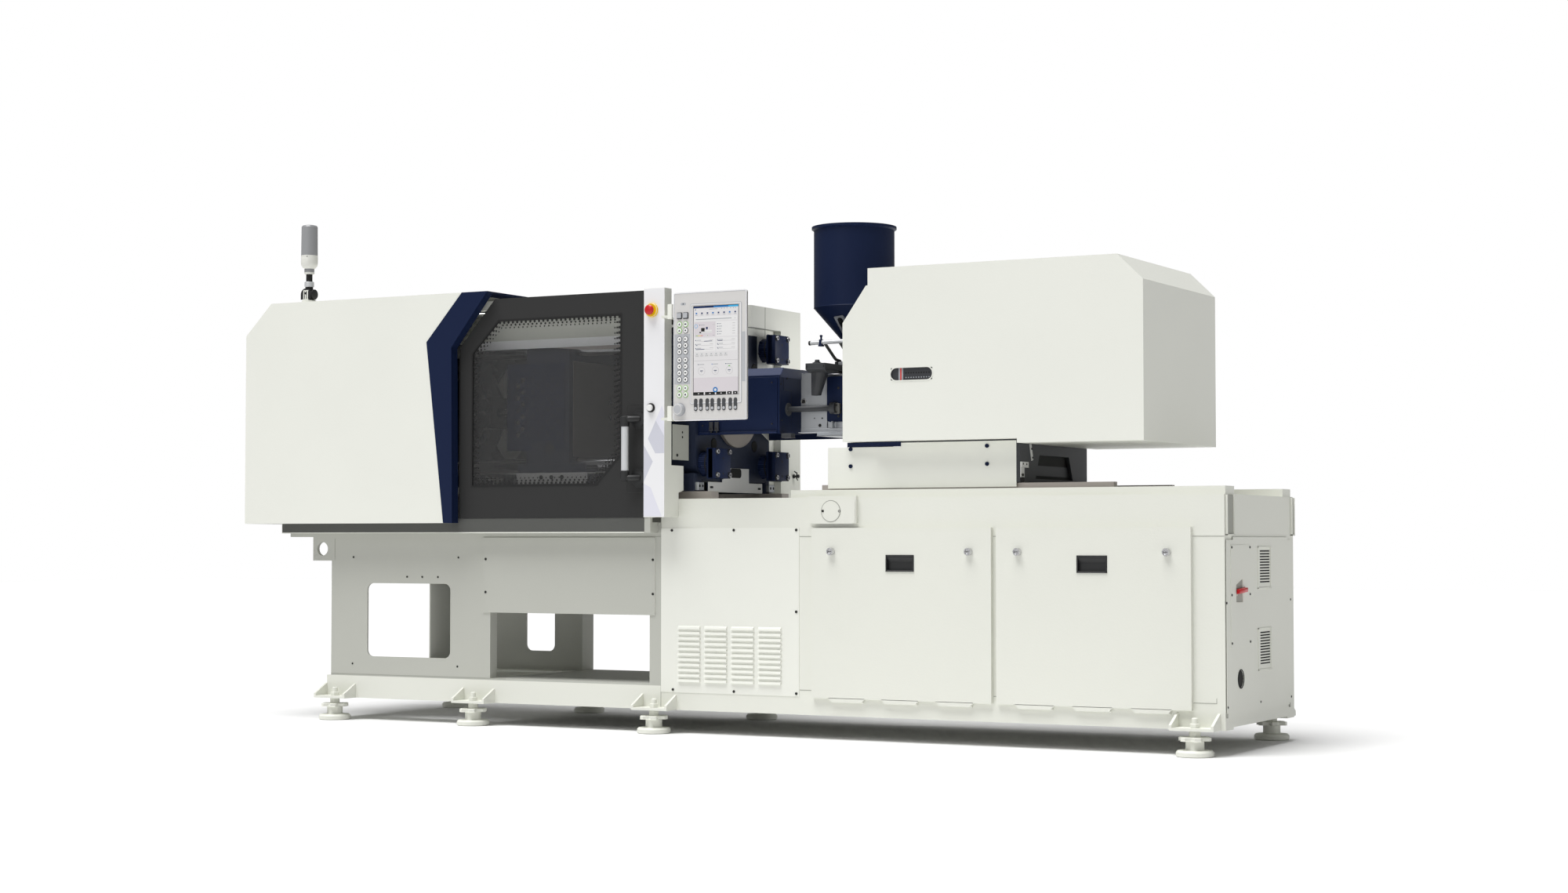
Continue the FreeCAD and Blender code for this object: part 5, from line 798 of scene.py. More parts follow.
# -------- feed block, zinc sheet and rods
feed = Piece()
feed.block((470, 640), (-208, 208), (1212, 1462), zinc_sheet, 2.0)
feed.slab("y", [(401, 1227), (519, 1227), (519, 1470), (420, 1470), (407, 1462), (401, 1440)],
          -213, -211, zinc_sheet, 0.4)
feed.block((401, 640), (-218, -200), (1226, 1243), zinc_sheet, 1.2)
feed.block((401, 640), (-240, -200), (1224, 1227.5), zinc_sheet, 0.8)
feed.slab("y", rounded(522, 640, 1269, 1452, 12), -216, -212, navy_coat, 1.0)
feed.block((554, 558), (-240, -216), (1243, 1270), zinc_sheet, 0.6)
feed.block((401, 404), (-211, 0), (1300, 1470), zinc_sheet, 0.6)
feed.ring("y", (414, 1354), 8.5, 13, -218, -213, nickel, 28)
feed.pin("y", (414, 1354), 8.6, -214, -213.2, seal_rubber_and_hole_shade, 20)
for x, z, radius in ((498, 1284, 3.5), (462, 1285, 2.5), (487, 1255, 6.5)):
    feed.pin("y", (x, z), radius, -214, -212.6, seal_rubber_and_hole_shade, 20)
feed.done("feed_zone_sheet", "carriage", "feed_steel", "feed_block")
round_heads("feed_panel_screws", [(574, -216.3, 1405), (574, -216.3, 1290)], "-y", 5, 2, dark_screw,
    "carriage")

rods = Piece()
for side in (-1, 1):
    y = side * 227
    rods.slab("x", rounded(y - 5, y + 5, 1315, 1334, 2), 349, 566, rod_grey, 0.8)
    rods.slab("y", rounded(561, 588, 1299, 1342, 6), y - 9, y + 9, rod_grey, 1.2)
    for z in (1306, 1335):
        rods.pin("y", (574, z), 5, y - 12, y + 12, dark_screw, 14)
rods.done("pull_in_rod_forks", "carriage", "dark_grey")

# -------- hopper base, chute, slide and hopper
HOPPER_X, HANDLE_Y = 535, -200
base_block = Piece()
base_block.slab("z", [(490, -344), (580, -344), (580, 138), (490, 138)], 1475, 1499.4, anthracite, 1.5)
base_block.slab("x", [(-344, 1475), (-318, 1463), (-222, 1463), (-222, 1475)], 492, 578, anthracite,
    0.8)
for x in (494, 571):
    base_block.block((x, x + 5), (-344.6, -300), (1482, 1492), seal_rubber_and_hole_shade, 0.6)
base_block.done("hopper_base_plate", "carriage", "dark_grey")

handle = Piece()
handle.tube([(HOPPER_X - 104, HANDLE_Y, 1593), (HOPPER_X + 104, HANDLE_Y, 1597)], 8.6, satin_aluminium,
    16)
handle.pin("x", (HANDLE_Y, 1593), 9.4, 431, 439, black_nylon, 16)
handle.pin("x", (HANDLE_Y, 1597), 9.4, 631, 639, black_nylon, 16)
handle.block((478, 494), (-212, -188), (1578, 1585), navy_coat, 1.0)
handle.block((481, 491), (-211, -189), (1583, 1606), navy_coat, 1.0)
handle.turned("z", (486, HANDLE_Y), [(4, 1604), (4, 1617), (6, 1618), (6, 1623), (3, 1625)], navy_coat,
    16)
handle.done("slide_handle", "hopper_unit", "dark_grey")

sight = Piece()
sight.slab("y", rounded(-22, 22, -50, 46, 4), -4, 3, zinc_sheet, 0.8)
sight.slab("y", rounded(-12, 12, -40, 38, 11.8, 8), -4.5, -3.8, screen_black)
slope = math.atan2(122, 141)
sight.moved(Matrix.Translation((537, -103, 1673)) @ Matrix.Rotation(slope, 4, "X")
            @ Matrix.Rotation(math.radians(-7.7), 4, "Y"))
sight.done("hopper_sight_glass", "hopper_unit", "sheet_steel")
brim = Piece()
brim.turned("z", (HOPPER_X, 0), [(167, 2068), (170, 2070), (176, 2074), (176, 2082), (173, 2084),
    (165, 2084), (164, 2072), (167, 2068)], navy_coat, 72)
brim.turned("z", (HOPPER_X, 0), [(167, 1745.5), (168.5, 1748), (167, 1750.5)], navy_coat, 72)
brim.turned("z", (HOPPER_X, 0), [(45, 1600), (49, 1602), (49, 1612), (46, 1614)], navy_coat, 40)
brim.done("hopper_beads", "hopper_unit", "navy_paint")


# -------- safety gate, window and handle
SIGHT = [(-1060, 1018), (-1060, 1587), (-923, 1724), (-304, 1724), (-304, 1142), (-425, 1018)]


def inset_loop(loop, inset):
    """The loop moved inwards by an even amount; the loop runs clockwise or against it."""
    area = sum(x0 * z1 - x1 * z0 for (x0, z0), (x1, z1) in zip(loop, loop[1:] + loop[:1]))
    side = 1 if area > 0 else -1
    moved = []
    for i, corner in enumerate(loop):
        before = Vector(corner) - Vector(loop[i - 1])
        after = Vector(loop[(i + 1) % len(loop)]) - Vector(corner)
        normals = [Vector((-way.y, way.x)).normalized() * side for way in (before, after)]
        bisector = (normals[0] + normals[1]).normalized()
        moved.append(tuple(Vector(corner) + bisector * inset / bisector.dot(normals[0])))
    return moved


def frame_ring(piece, along, outer, inner, start, stop, finish):
    """A flat ring between two loops with as many corners each, given a thickness."""
    for i in range(len(outer)):
        j = (i + 1) % len(outer)
        piece.slab(along, [outer[i], outer[j], inner[j], inner[i]], start, stop, finish)


def along_loop(loop, pitch, shift):
    """Spots along a loop at about a pitch, shifted by a share of it."""
    spots = []
    for i, corner in enumerate(loop):
        start, stop = Vector(corner), Vector(loop[(i + 1) % len(loop)])
        count = max(1, round((stop - start).length / pitch))
        spots += [tuple(start.lerp(stop, (k + shift) / count)) for k in range(count)]
    return spots


seal = Piece()
frame_ring(seal, "y", inset_loop(SIGHT, -3), inset_loop(SIGHT, 4), -475.2, -470.5, seal_rubber_and_hole_shade)
seal.done("gate_window_seal", "front_gate", "gate_paint")
dots, reaches = [], []
for row, (inset, radius) in enumerate(((11, 5.8), (22, 4.6), (33.5, 3.4))):
    for x, z in along_loop(inset_loop(SIGHT, inset), 22, 0.5 * (row % 2)):
        dots.append((x, -471.2, z))
        reaches.append(radius)
round_heads("window_printed_dots", dots, "-y", 1.0, 0.08, ink["black"], "front_gate", 0.6,
    0.0, reaches)
band = Piece()
frame_ring(band, "y", inset_loop(SIGHT, 3), inset_loop(SIGHT, 7), -471.4, -470.9, ink["black"])
# the handle recess is outlined in a line of painted shade
recess = rounded(-277, -166, 983, 1350, 9)
frame_ring(band, "y", recess, inset_loop(recess, 2.2), -474.9, -473.6, edge_line)
band.block((-1126, -1120), (-476, -453), (884, 1606), seal_rubber_and_hole_shade, 1.0)
band.block((-175, -171.5), (-475, -453), (884, 1814), seal_rubber_and_hole_shade, 0.8)
band.done("gate_edge_lines", "front_gate", "gate_paint")

BAR_AT, GRIP_FOOT = (-256, -520), -206
grip = Piece()
grip.turned("z", BAR_AT, [(0, 1040), (15.5, 1040), (15.5, 1288), (0, 1288)], satin_aluminium, 32)
for low, high in ((1030, 1075), (1253, 1297)):
    grip.turned("z", BAR_AT, [(0, low), (14, low), (18.5, low + 3), (18.5, high - 3), (14, high),
        (0, high)], black_nylon, 32)
for z in (1285, 1043):
    # an eight-sided foot in two steps
    for radius, start, stop, edge in ((40, -486, -474.5, 2.5), (40 * 0.72, -496, -485, 3)):
        octagon = [(GRIP_FOOT + radius * math.cos(math.pi / 8 * (2 * i + 1)),
                    z + radius * math.sin(math.pi / 8 * (2 * i + 1))) for i in range(8)]
        grip.slab("y", octagon, start, stop, black_nylon, edge, 2)
    grip.tube([(GRIP_FOOT, -490, z), (-222, -506, z), (-240, -516, z), (*BAR_AT, z)], 14, black_nylon,
        20)
    grip.turned("y", (GRIP_FOOT, z), [(0, -498), (7, -498), (8, -497), (8, -494)], dark_screw, 16)
grip.done("gate_handle_grip", "front_gate", "handle_silver", "gate_handle")

# -------- control column and its buttons
STOP_AT, START_AT = (-124, 1727), (-128, 1328)
stop = Piece()
stop.turned("y", STOP_AT, [(9, -520), (9, -539.5), (16, -541), (20, -543.5), (20.5, -546.5), (20, -550),
    (17, -553), (11, -554.8), (0, -555)], stop_red, 40)
stop.done("stop_mushroom", "stop_button", "red_plastic", "e_stop_button")
collar = Piece()
collar.turned("y", STOP_AT, [(28.5, -523), (29.6, -525), (29.2, -531), (26, -533.6), (10, -533.6),
    (10, -523), (28.5, -523)], stop_yellow, 44)
collar.turned("y", START_AT, [(14.4, -523), (19, -523), (19, -528), (17, -533), (14.4, -533),
    (14.4, -523)], seal_rubber_and_hole_shade, 36)
collar.done("button_collars", "frame", "column_paint")
push = Piece()
push.turned("y", START_AT, [(0, -528.2), (13.6, -528.2), (13.6, -539), (12, -541.6), (0, -542)],
    key_white, 32)
push.done("start_cap", "start_push", "white_plastic", "start_button")


# -------- operator panel
# the panel's front face; its fittings stand up to a few millimetres proud of it
PANEL = -560
shell = Piece()
edge = rounded(2, 342, 1269, 1787, 8, 4)
frame_ring(shell, "y", edge, inset_loop(edge, 3), PANEL - 0.9, PANEL + 6, column_coat)
frame_ring(shell, "y", inset_loop(edge, 3), inset_loop(edge, 4.2), PANEL - 0.3, PANEL + 2, mid_grey_abs)
bezel = rounded(79.5, 318.9, 1335, 1740, 7, 4)
frame_ring(shell, "y", bezel, inset_loop(bezel, 2.5), PANEL - 1.4, PANEL + 2, mid_grey_abs)
frame_ring(shell, "y", inset_loop(bezel, 2.5), inset_loop(bezel, 5), PANEL - 1.8, PANEL + 2,
    column_coat)
shell.slab("y", rectangle(4.5, 78.6, 1417.7, 1619.2), PANEL - 0.5, PANEL + 2, mid_grey_abs, 0.3)
shell.slab("y", rectangle(321, 335, 1421, 1619), PANEL - 0.5, PANEL + 2, mid_grey_abs, 0.3)
shell.slab("y", rounded(35, 59, 1736, 1747, 5.4), PANEL - 0.4, PANEL + 2, mid_grey_abs)
shell.pin("y", (46.7, 1741.3), 2.6, PANEL, PANEL - 0.9, key_dark, 14)
shell.slab("y", rectangle(94.2, 305.4, 1369.5, 1729.8), PANEL - 0.4, PANEL + 2, screen_black)
for x in (106.6, 130.8, 160.8, 183.8, 214.4, 237.2, 267.3, 290.8):
    shell.slab("y", rounded(x - 7.8, x + 7.8, 1307, 1357, 7.6), PANEL - 2.2, PANEL + 2, key_dark)
    shell.turned("y", (x, 1317.5), [(6, PANEL), (6, PANEL - 2.8), (5, PANEL - 3.2), (0, PANEL - 3.2)],
                 mid_grey_abs, 18)
shell.block((0.6, 3), (-559, -550), (1276, 1780), mid_grey_abs, 0.3)
shell.done("panel_face_fittings", "panel", "panel_plastic")

KEY_COLUMNS = (30, 58.5)
key_rows = {1659.4: "gg", 1634.0: "gd", 1599.1: "dd", 1573.7: "dd", 1548.3: "dd", 1514.7: "dd",
            1488.7: "dd", 1462.7: "dd", 1435.7: "dd", 1401.1: "gg", 1374.5: "gg"}
keys = Piece()
for z, kinds in key_rows.items():
    for x, kind in zip(KEY_COLUMNS, kinds):
        ring = key_green if kind == "g" else key_dark
        keys.turned("y", (x, z), [(12, PANEL), (12, PANEL - 1.4), (11, PANEL - 1.8), (9.9, PANEL - 1.8),
            (9.9, PANEL), (12, PANEL)], ring, 24)
        keys.turned("y", (x, z), [(9.9, PANEL), (9.9, PANEL - 2.2), (9, PANEL - 2.8), (0, PANEL - 2.8)],
                    key_white, 24)
# a dark slab behind each square key, wider to the right and below: painted shade beside the raised key
for x in (29.7, 58.9):
    keys.slab("y", rounded(x - 12, x + 12.5, 1681, 1707, 3), PANEL - 2, PANEL + 1, key_dark, 0.6)
    keys.slab("y", rounded(x - 10, x + 9.5, 1685, 1705, 3), PANEL - 6.5, PANEL - 1, mid_grey_abs, 1.2)
keys.done("panel_keys", "panel", "panel_plastic")

SIGNS = {
    "dot": circle(0, 0, 3.6, 12), "square": rectangle(-3.4, 3.4, -3.4, 3.4),
    "arrow": [(-4.6, -3.4), (4.6, -3.4), (0, 4.4)], "wide": rectangle(-5, 5, -2.4, 2.4),
    "left": [(3.8, -4.2), (3.8, 4.2), (-4.4, 0)], "right": [(-3.8, -4.2), (4.4, 0), (-3.8, 4.2)],
}
order = ("arrow", "wide", "arrow", "dot", "left", "right", "arrow", "square", "dot", "wide", "square",
         "dot", "left", "right", "arrow", "wide", "dot", "square", "arrow", "dot", "square", "square")
signs = Piece()
for i, (x, z) in enumerate([(x, z) for z in key_rows for x in KEY_COLUMNS]):
    signs.slab("y", [(x + a, z + b) for a, b in SIGNS[order[i]]], PANEL - 3.1, PANEL - 2.6, key_dark)
signs.done("panel_key_signs", "panel", "panel_plastic")

GLASS_LEFT, GLASS_WIDTH, GLASS_TOP, GLASS_TALL = 96.0, 207.5, 1728.0, 357.0
# how far the picture stands in front of the panel, and each further layer of it
PRINT, LAYER = 0.55, 0.12
picture = Piece()


def field(u0, u1, v0, v1, colour, lift=0):
    """A printed field of the picture, from shares of the glass counted from its top left corner."""
    picture.slab("y", rectangle(GLASS_LEFT + GLASS_WIDTH * u0, GLASS_LEFT + GLASS_WIDTH * u1,
        GLASS_TOP - GLASS_TALL * v1, GLASS_TOP - GLASS_TALL * v0), PANEL - PRINT - LAYER * lift,
        PANEL + 0.5, ink[colour])


def ring_field(u, v, radius, width, colour, lift=2):
    """A printed ring about a point of the glass."""
    x, z = GLASS_LEFT + GLASS_WIDTH * u, GLASS_TOP - GLASS_TALL * v
    depth = PANEL - PRINT - LAYER * lift
    picture.ring("y", (x, z), radius - width, radius, PANEL, depth, ink[colour], 32)


for row in ((0, 1, 0, 1, "white"), (0, 0.45, 0, 0.02, "navy", 1), (0.45, 0.78, 0, 0.02, "blue", 1),
        (0.78, 1, 0, 0.02, "cyan", 1), (0.03, 0.055, 0.032, 0.041, "navy", 1),
        (0.35, 0.54, 0.033, 0.038, "slate", 1)):
    field(*row)
for u in (0.62, 0.68, 0.74, 0.82, 0.88, 0.93):
    field(u, u + 0.02, 0.028, 0.036, "slate", 1)
for i in range(8):
    u = 0.064 + 0.124 * i
    field(u - 0.018, u + 0.018, 0.070, 0.087, "navy" if i % 3 else "blue", 1)
    field(u - 0.028, u + 0.028, 0.096, 0.101, "slate", 1)
for row in ((0.02, 0.98, 0.118, 0.165, "pale", 1), (0.05, 0.85, 0.143, 0.151, "slate", 2),
        (0.92, 0.94, 0.143, 0.151, "line", 2), (0.02, 0.49, 0.178, 0.345, "rose", 1)):
    field(*row)
ring_field(0.055, 0.222, 8, 1.6, "cyan")
for row in ((0.13, 0.15, 0.208, 0.216, "navy", 2), (0.16, 0.25, 0.209, 0.215, "slate", 2),
        (0.42, 0.48, 0.209, 0.213, "line", 2), (0.11, 0.42, 0.285, 0.305, "card", 2),
        (0.17, 0.25, 0.245, 0.285, "black", 2), (0.28, 0.32, 0.235, 0.262, "navy", 2),
        (0.24, 0.41, 0.268, 0.286, "pale", 2), (0.13, 0.17, 0.288, 0.302, "black", 3),
        (0.05, 0.10, 0.328, 0.334, "green", 2), (0.10, 0.165, 0.328, 0.334, "yellow", 2),
        (0.165, 0.21, 0.328, 0.334, "red", 2), (0.31, 0.325, 0.328, 0.334, "green", 2),
        (0.43, 0.47, 0.328, 0.333, "slate", 2), (0.51, 0.98, 0.178, 0.345, "pale", 1)):
    field(*row)
for i in range(5):
    v = 0.200 + 0.029 * i
    field(0.53, 0.55, v, v + 0.008, "navy", 2)
    field(0.56, 0.56 + 0.02 * (3 + i % 2), v + 0.001, v + 0.007, "slate", 2)
    field(0.87, 0.93, v, v + 0.005, "line", 2)
for left, fills in ((0.02, (0.45, 0.10, 0.50)), (0.51, (0.28, 0.06, 0.05))):
    field(left, left + 0.47, 0.36, 0.51, "pale", 1)
    for i, fill in enumerate(fills):
        v = 0.378 + 0.045 * i
        field(left + 0.02, left + 0.04, v, v + 0.008, "navy", 2)
        field(left + 0.05, left + 0.15, v + 0.001, v + 0.007, "slate", 2)
        field(left + 0.34, left + 0.42, v, v + 0.005, "line", 2)
        field(left + 0.03, left + 0.42, v + 0.017, v + 0.020, "line", 2)
        start = left + 0.22 if (left < 0.1 and i == 0) else left + 0.03
        field(start, start + 0.39 * fill, v + 0.014, v + 0.020, "navy", 3)
for i in range(7):
    u = 0.035 + 0.107 * i
    field(u, u + 0.09, 0.525, 0.572, "card", 1)
    field(u + 0.03, u + 0.055, 0.534, 0.545, "slate", 2)
    field(u + 0.01, u + 0.08, 0.555, 0.563, "line", 2)
field(0.01, 0.99, 0.612, 0.616, "line", 1)
for u, mark in ((0.18, "navy"), (0.49, "blue"), (0.80, "navy")):
    field(u - 0.085, u - 0.065, 0.652, 0.660, mark, 2)
    field(u - 0.055, u + 0.06, 0.653, 0.659, "slate", 2)
    ring_field(u, 0.730, 16, 1.0, "line")
    field(u - 0.03, u + 0.03, 0.724, 0.732, "navy", 2)
    field(u - 0.015, u + 0.015, 0.740, 0.745, "slate", 2)
field(0.78, 0.82, 0.676, 0.684, "green", 2)
field(0.0, 1.0, 0.805, 0.965, "rose", 1)
ring_field(0.49, 0.945, 11, 5.5, "blue", 4)
ring_field(0.49, 0.945, 5.5, 5.4, "white", 4)
for u0, u1 in ((0.0, 0.23), (0.26, 0.48), (0.51, 0.73), (0.755, 0.855), (0.885, 0.985)):
    field(u0, u1, 0.968, 0.999, "black", 3)
    middle = (u0 + u1) / 2
    field(middle - 0.015, middle + 0.015, 0.980, 0.989, "white", 4)
picture.done("screen_picture", "panel", "screen_glass")

DIAL_X, DIAL_Z, DIAL_RADIUS, DIAL_RIBS = 31, 1315, 24, 24
dial = Piece()
dial.turned("y", (DIAL_X, DIAL_Z), [(DIAL_RADIUS, -560.4), (24.3, -563), (24.3, -573), (23.6, -576.5),
    (21, -579.4), (17, -580)], mid_grey_abs, 48)
dial.turned("y", (DIAL_X, DIAL_Z), [(20.5, -579.2), (20.5, -579.9), (0, -580)], grey_abs, 48)
for x, z in circle(DIAL_X, DIAL_Z, DIAL_RADIUS, DIAL_RIBS):
    dial.pin("y", (x, z), 0.9, -563, -573, mid_grey_abs, 6)
dial.done("panel_dial_cap", "dial", "dial_black", "panel_dial")
dial_base = Piece()
dial_base.turned("y", (DIAL_X, DIAL_Z), [(27, PANEL), (27, PANEL - 0.35), (20, PANEL - 0.35),
    (20, PANEL), (27, PANEL)], mid_grey_abs, 48)
dial_base.done("panel_dial_seat", "panel", "panel_plastic")


# -------- mould area behind the window
inside = Piece()
inside.slab("y", [(-1130, 1646), (-190, 1646), (-190, 1786), (-960, 1786)], -336.4, -334.6, lining)
inside.slab("y", [(-1130, 1610), (-190, 1610), (-190, 1646), (-1130, 1646)], -339, -334.6, bright_sheet,
    0.8)
inside.slab("y", [(-760, 1610), (-190, 1610), (-190, 1590), (-560, 1594)], -336.4, -334.6, ground_steel)
inside.done("mould_area_back", "frame", "gate_paint")

# perforated guards beside the moving platen: rows of holes, every other row shifted by half a pitch
GUARD_HOLES = [(x, 1475.9 - 26.1 * row, 10) for row in range(10)
               for x in ((-902, -850, -798, -747) if row % 2 == 0 else (-926, -874, -822, -770, -719))]
for side, face, y in (("front", "-y", -321.6), ("rear", "+y", 321.6)):
    replaced = ("ejector_guards",) if side == "front" else ()
    punched_sheet(f"ejector_guard_{side}", [rectangle(-984, -685, 1172, 1546)], GUARD_HOLES, face, y,
        2.2, navy_coat, "moving_half", "navy_paint", *replaced)
# face of the moving platen, with holes that let the two ejector rods through
MOULD_FACE = -662
punched_sheet("mould_face_sheet", [rounded(-295, 295, 1143, 1553, 8)],
              [(0, AXIS + side * 35, 14) for side in (-1, 1)], "+x", MOULD_FACE - 0.2, 1.6, milled_face,
              "moving_half", "link_steel")
mould_side = Piece()
# dark discs and rings on the mould face: painted shade in its bores
for y, z, radius in ((-93, AXIS, 16), (-52, 1273.5, 16)):
    mould_side.pin("x", (y, z), radius, MOULD_FACE - 0.6, MOULD_FACE + 0.2, seal_rubber_and_hole_shade, 28)
for z in (1462, 1357, 1252):
    mould_side.ring("x", (12, z), 13, 17, MOULD_FACE - 0.5, MOULD_FACE + 0.4, seal_rubber_and_hole_shade, 28)
    mould_side.pin("x", (12, z), 5, MOULD_FACE - 0.5, MOULD_FACE + 0.4, seal_rubber_and_hole_shade, 16)
mould_side.tube([(x, -324.4, z) for x, z in ((-666, 1546), (-666, 1472), (-687.5, 1470), (-687, 1422),
    (-666, 1419), (-665, 1263), (-687, 1263), (-686, 1210), (-840, 1206))], 1.2, edge_shade, 6)
mould_side.slab("y", [(-859, 1205), (-855, 1175), (-838, 1150), (-834, 1115), (-782, 1115),
    (-792, 1155), (-788, 1205)], -327, -324, navy_cast, 1.0)
# a dark disc on the casting: painted shade in its bore
mould_side.pin("y", (-762, 1180), 24, -324, -325, edge_shade, 28)
mould_side.block((-923, -570), (-331, -328), (1077, 1115), navy_cast, 1.0)
mould_side.block((-921, -572), (-331.6, -328), (1020, 1076), stay_grey, 1.0)
for x in (-925, -568):
    for low, high in ((1020, 1042), (1046, 1076)):
        mould_side.block((x - 2, x + 2), (-332, -328), (low, high), column_coat)
mould_side.done("moving_platen_fittings", "moving_half", "link_steel")
# fixing holes: each row's height, and its nearest and farthest columns from the middle
PLATE_BOLTS = {1540: (61, 135.5), 1503: (61, 248), 1467: (97.5, 248), 1432: (135.5, 248),
    1285: (135.5, 248), 1248: (97.5, 248), 1211: (61, 248), 1174: (61, 135.5)}
HOLE_COLUMNS = (61, 97.5, 135.5, 173, 211, 248)
# each hole is a dark shallow head: painted shade in the hole
round_heads("mould_fixing_holes", [(MOULD_FACE, side * y, z) for z, (near, far) in PLATE_BOLTS.items()
    for y in HOLE_COLUMNS if near <= y <= far for side in (-1, 1)], "+x", 6.5, 0.5, seal_rubber_and_hole_shade,
    "moving_half", 0.6, -0.3)
round_heads("shoe_bolts", [(x, -332, 1057) for x in (-799, -746, -693)], "-y", 9, 3, dark_screw,
            "moving_half", 0.5, -2)

# -------- injection cover: sight slot with its scale
slot_edge = rounded(904, 1084, 1414, 1462, 23.9, 8)
gauge = Piece()
frame_ring(gauge, "y", inset_loop(slot_edge, -4), slot_edge, -407.5, -403, cover_coat)
gauge.block((890, 1100), (-400, -396), (1406, 1470), anthracite)
for start, stop, colour in ((936, 943, "slate"), (943, 949, "red"), (949, 956, "slate")):
    gauge.block((start, stop), (-401, -399), (1408, 1468), ink[colour])
for i in range(10):
    x = 968 + 11.1 * i
    gauge.slab("y", circle(x, 1442, 3.4, 10), -400.6, -399, seal_rubber_and_hole_shade)
    gauge.block((x - 2.4, x + 2.4), (-400.6, -399), (1422, 1426), ink["slate"])
gauge.done("injection_scale", "carriage", "cover_paint")

# -------- operator panel housing
housing = Piece()
housing.slab("y", rounded(2, 342, 1269, 1787, 8, 4), PANEL, PANEL + 11, grey_abs, 0.8)
housing.slab("y", rounded(28, 316, 1297, 1759, 14, 4), PANEL + 10, -516, grey_abs, 2.0, 2)
for low in (1271, 1685):
    housing.block((-33, -12), (-553, -524), (low, low + 60), base_coat, 2.0, 2)
    housing.block((-14, 6), (-549, -540), (low + 6, low + 56), grey_abs, 0.8)
housing.done("panel_housing", "panel", "panel_plastic", "operator_panel")

# -------- hopper slide, base and spill chute
slide = Piece()
slide.block((493, 577), (-95, 95), (1500.3, 1522), anthracite, 1.5)
for x in (500, 570):
    slide.tube([(x, -200, 1596), (x, -190, 1588), (x, -112, 1538), (x, -96, 1530), (x, -60, 1526)], 6.4,
               rod_grey, 14)
slide.block((512, 558), (-99, -94), (1503, 1519), zinc_sheet, 0.8)
slide.block((521, 549), (-342, -94), (1500.2, 1502.4), anthracite, 0.4)
slide.pin("z", (HOPPER_X, -326), 14, 1502, 1505, anthracite, 20)
slide.turned("z", (HOPPER_X, -326), [(10, 1502), (10, 1511), (8, 1514)], anthracite, 20)
slide.done("hopper_slide_block", "hopper_unit", "dark_grey", "hopper_slide")
chute = Piece()
chute.turned("z", (0, 0), [(37, 1476), (20, 1373), (17, 1373), (31, 1476), (37, 1476)], anthracite, 11,
    0.2)
chute.pin("z", (0, 0), 18, 1376, 1378, seal_rubber_and_hole_shade, 11, 0.2)
# the chute leans: its middle goes from X 509 at its mouth to X 528 under the slide
LOW, HIGH = (509, 1373), (528, 1476)
lean = (HIGH[0] - LOW[0]) / (HIGH[1] - LOW[1])
chute.moved(Matrix(((1, 0, lean, LOW[0] - lean * LOW[1]), (0, 1, 0, -285), (0, 0, 1, 0), (0, 0, 0, 1))))
chute.done("spill_chute", "carriage", "dark_grey", "hopper_base")

# -------- carriage: screws, strip and end brackets
round_heads("carriage_cover_screws", [(695, -342, 1150), (695, -342, 1082), (1288, -342, 1153),
    (1288, -342, 1083)], "-y", 8, 5, navy_coat, "carriage")
ends = Piece()
ends.block((680, 917), (-344, -340), (1158, 1176), navy_coat, 0.8)
ends.block((1404, 1407), (-334, 300), (1012, 1166), seal_rubber_and_hole_shade)
ends.block((1424, 1431), (-340, -270), (1068, 1090), stay_grey, 1.0)
ends.block((1420, 1428), (-340, -304), (1030, 1068), stay_grey, 1.0)
ends.slab("x", [(-252, 1160), (-240, 1162), (-222, 1100), (-234, 1096)], 1426, 1430, stay_grey, 0.8)
for y, z in ((-324, 1082), (-290, 1081), (-240, 1142), (-231, 1108)):
    ends.pin("x", (y, z), 4, 1428, 1432, seal_rubber_and_hole_shade, 14)
ends.turned("x", (-328, 1039), [(6, 1427), (6, 1434), (4, 1435)], dark_screw, 6)
ends.turned("z", (1424, -325), [(9, 1010), (12, 1016), (12, 1028), (8, 1030)], seal_rubber_and_hole_shade, 20)
ends.done("carriage_end_fittings", "carriage", "carriage_grey")

# -------- main switch
punched_sheet("main_switch_plate", [rectangle(-360, -135, 393, 771), rectangle(-301, -225, 559, 644)],
    [], "+x", 2266, 3.4, base_coat, "frame", "cover_paint", "main_switch_panel")
# the pocket is shallow: its floor is painted shade, and a triangle of the base coat is painted light
# falling into its upper corner
pocket = Piece()
pocket.block((2265.4, 2266.8), (-301, -225), (559, 644), seam_shade)
pocket.slab("x", [(-301, 644), (-229, 644), (-301, 622)], 2266, 2267.4, base_coat)
pocket.pin("x", (-286, 586), 3, 2266.5, 2268, base_coat, 12)
pocket.done("main_switch_pocket", "frame", "cover_paint")
lever = Piece()
lever.slab("x", [(-301, 591), (-298, 607), (-204, 613), (-201, 609), (-202, 598), (-206, 596)], 2271,
    2282, stop_red, 1.5, 2)
lever.turned("x", (-248, 601), [(9, 2267), (9, 2273), (7, 2275)], stop_red, 28)
lever.done("main_switch_handle", "switch_lever", "red_plastic", "main_switch_lever")

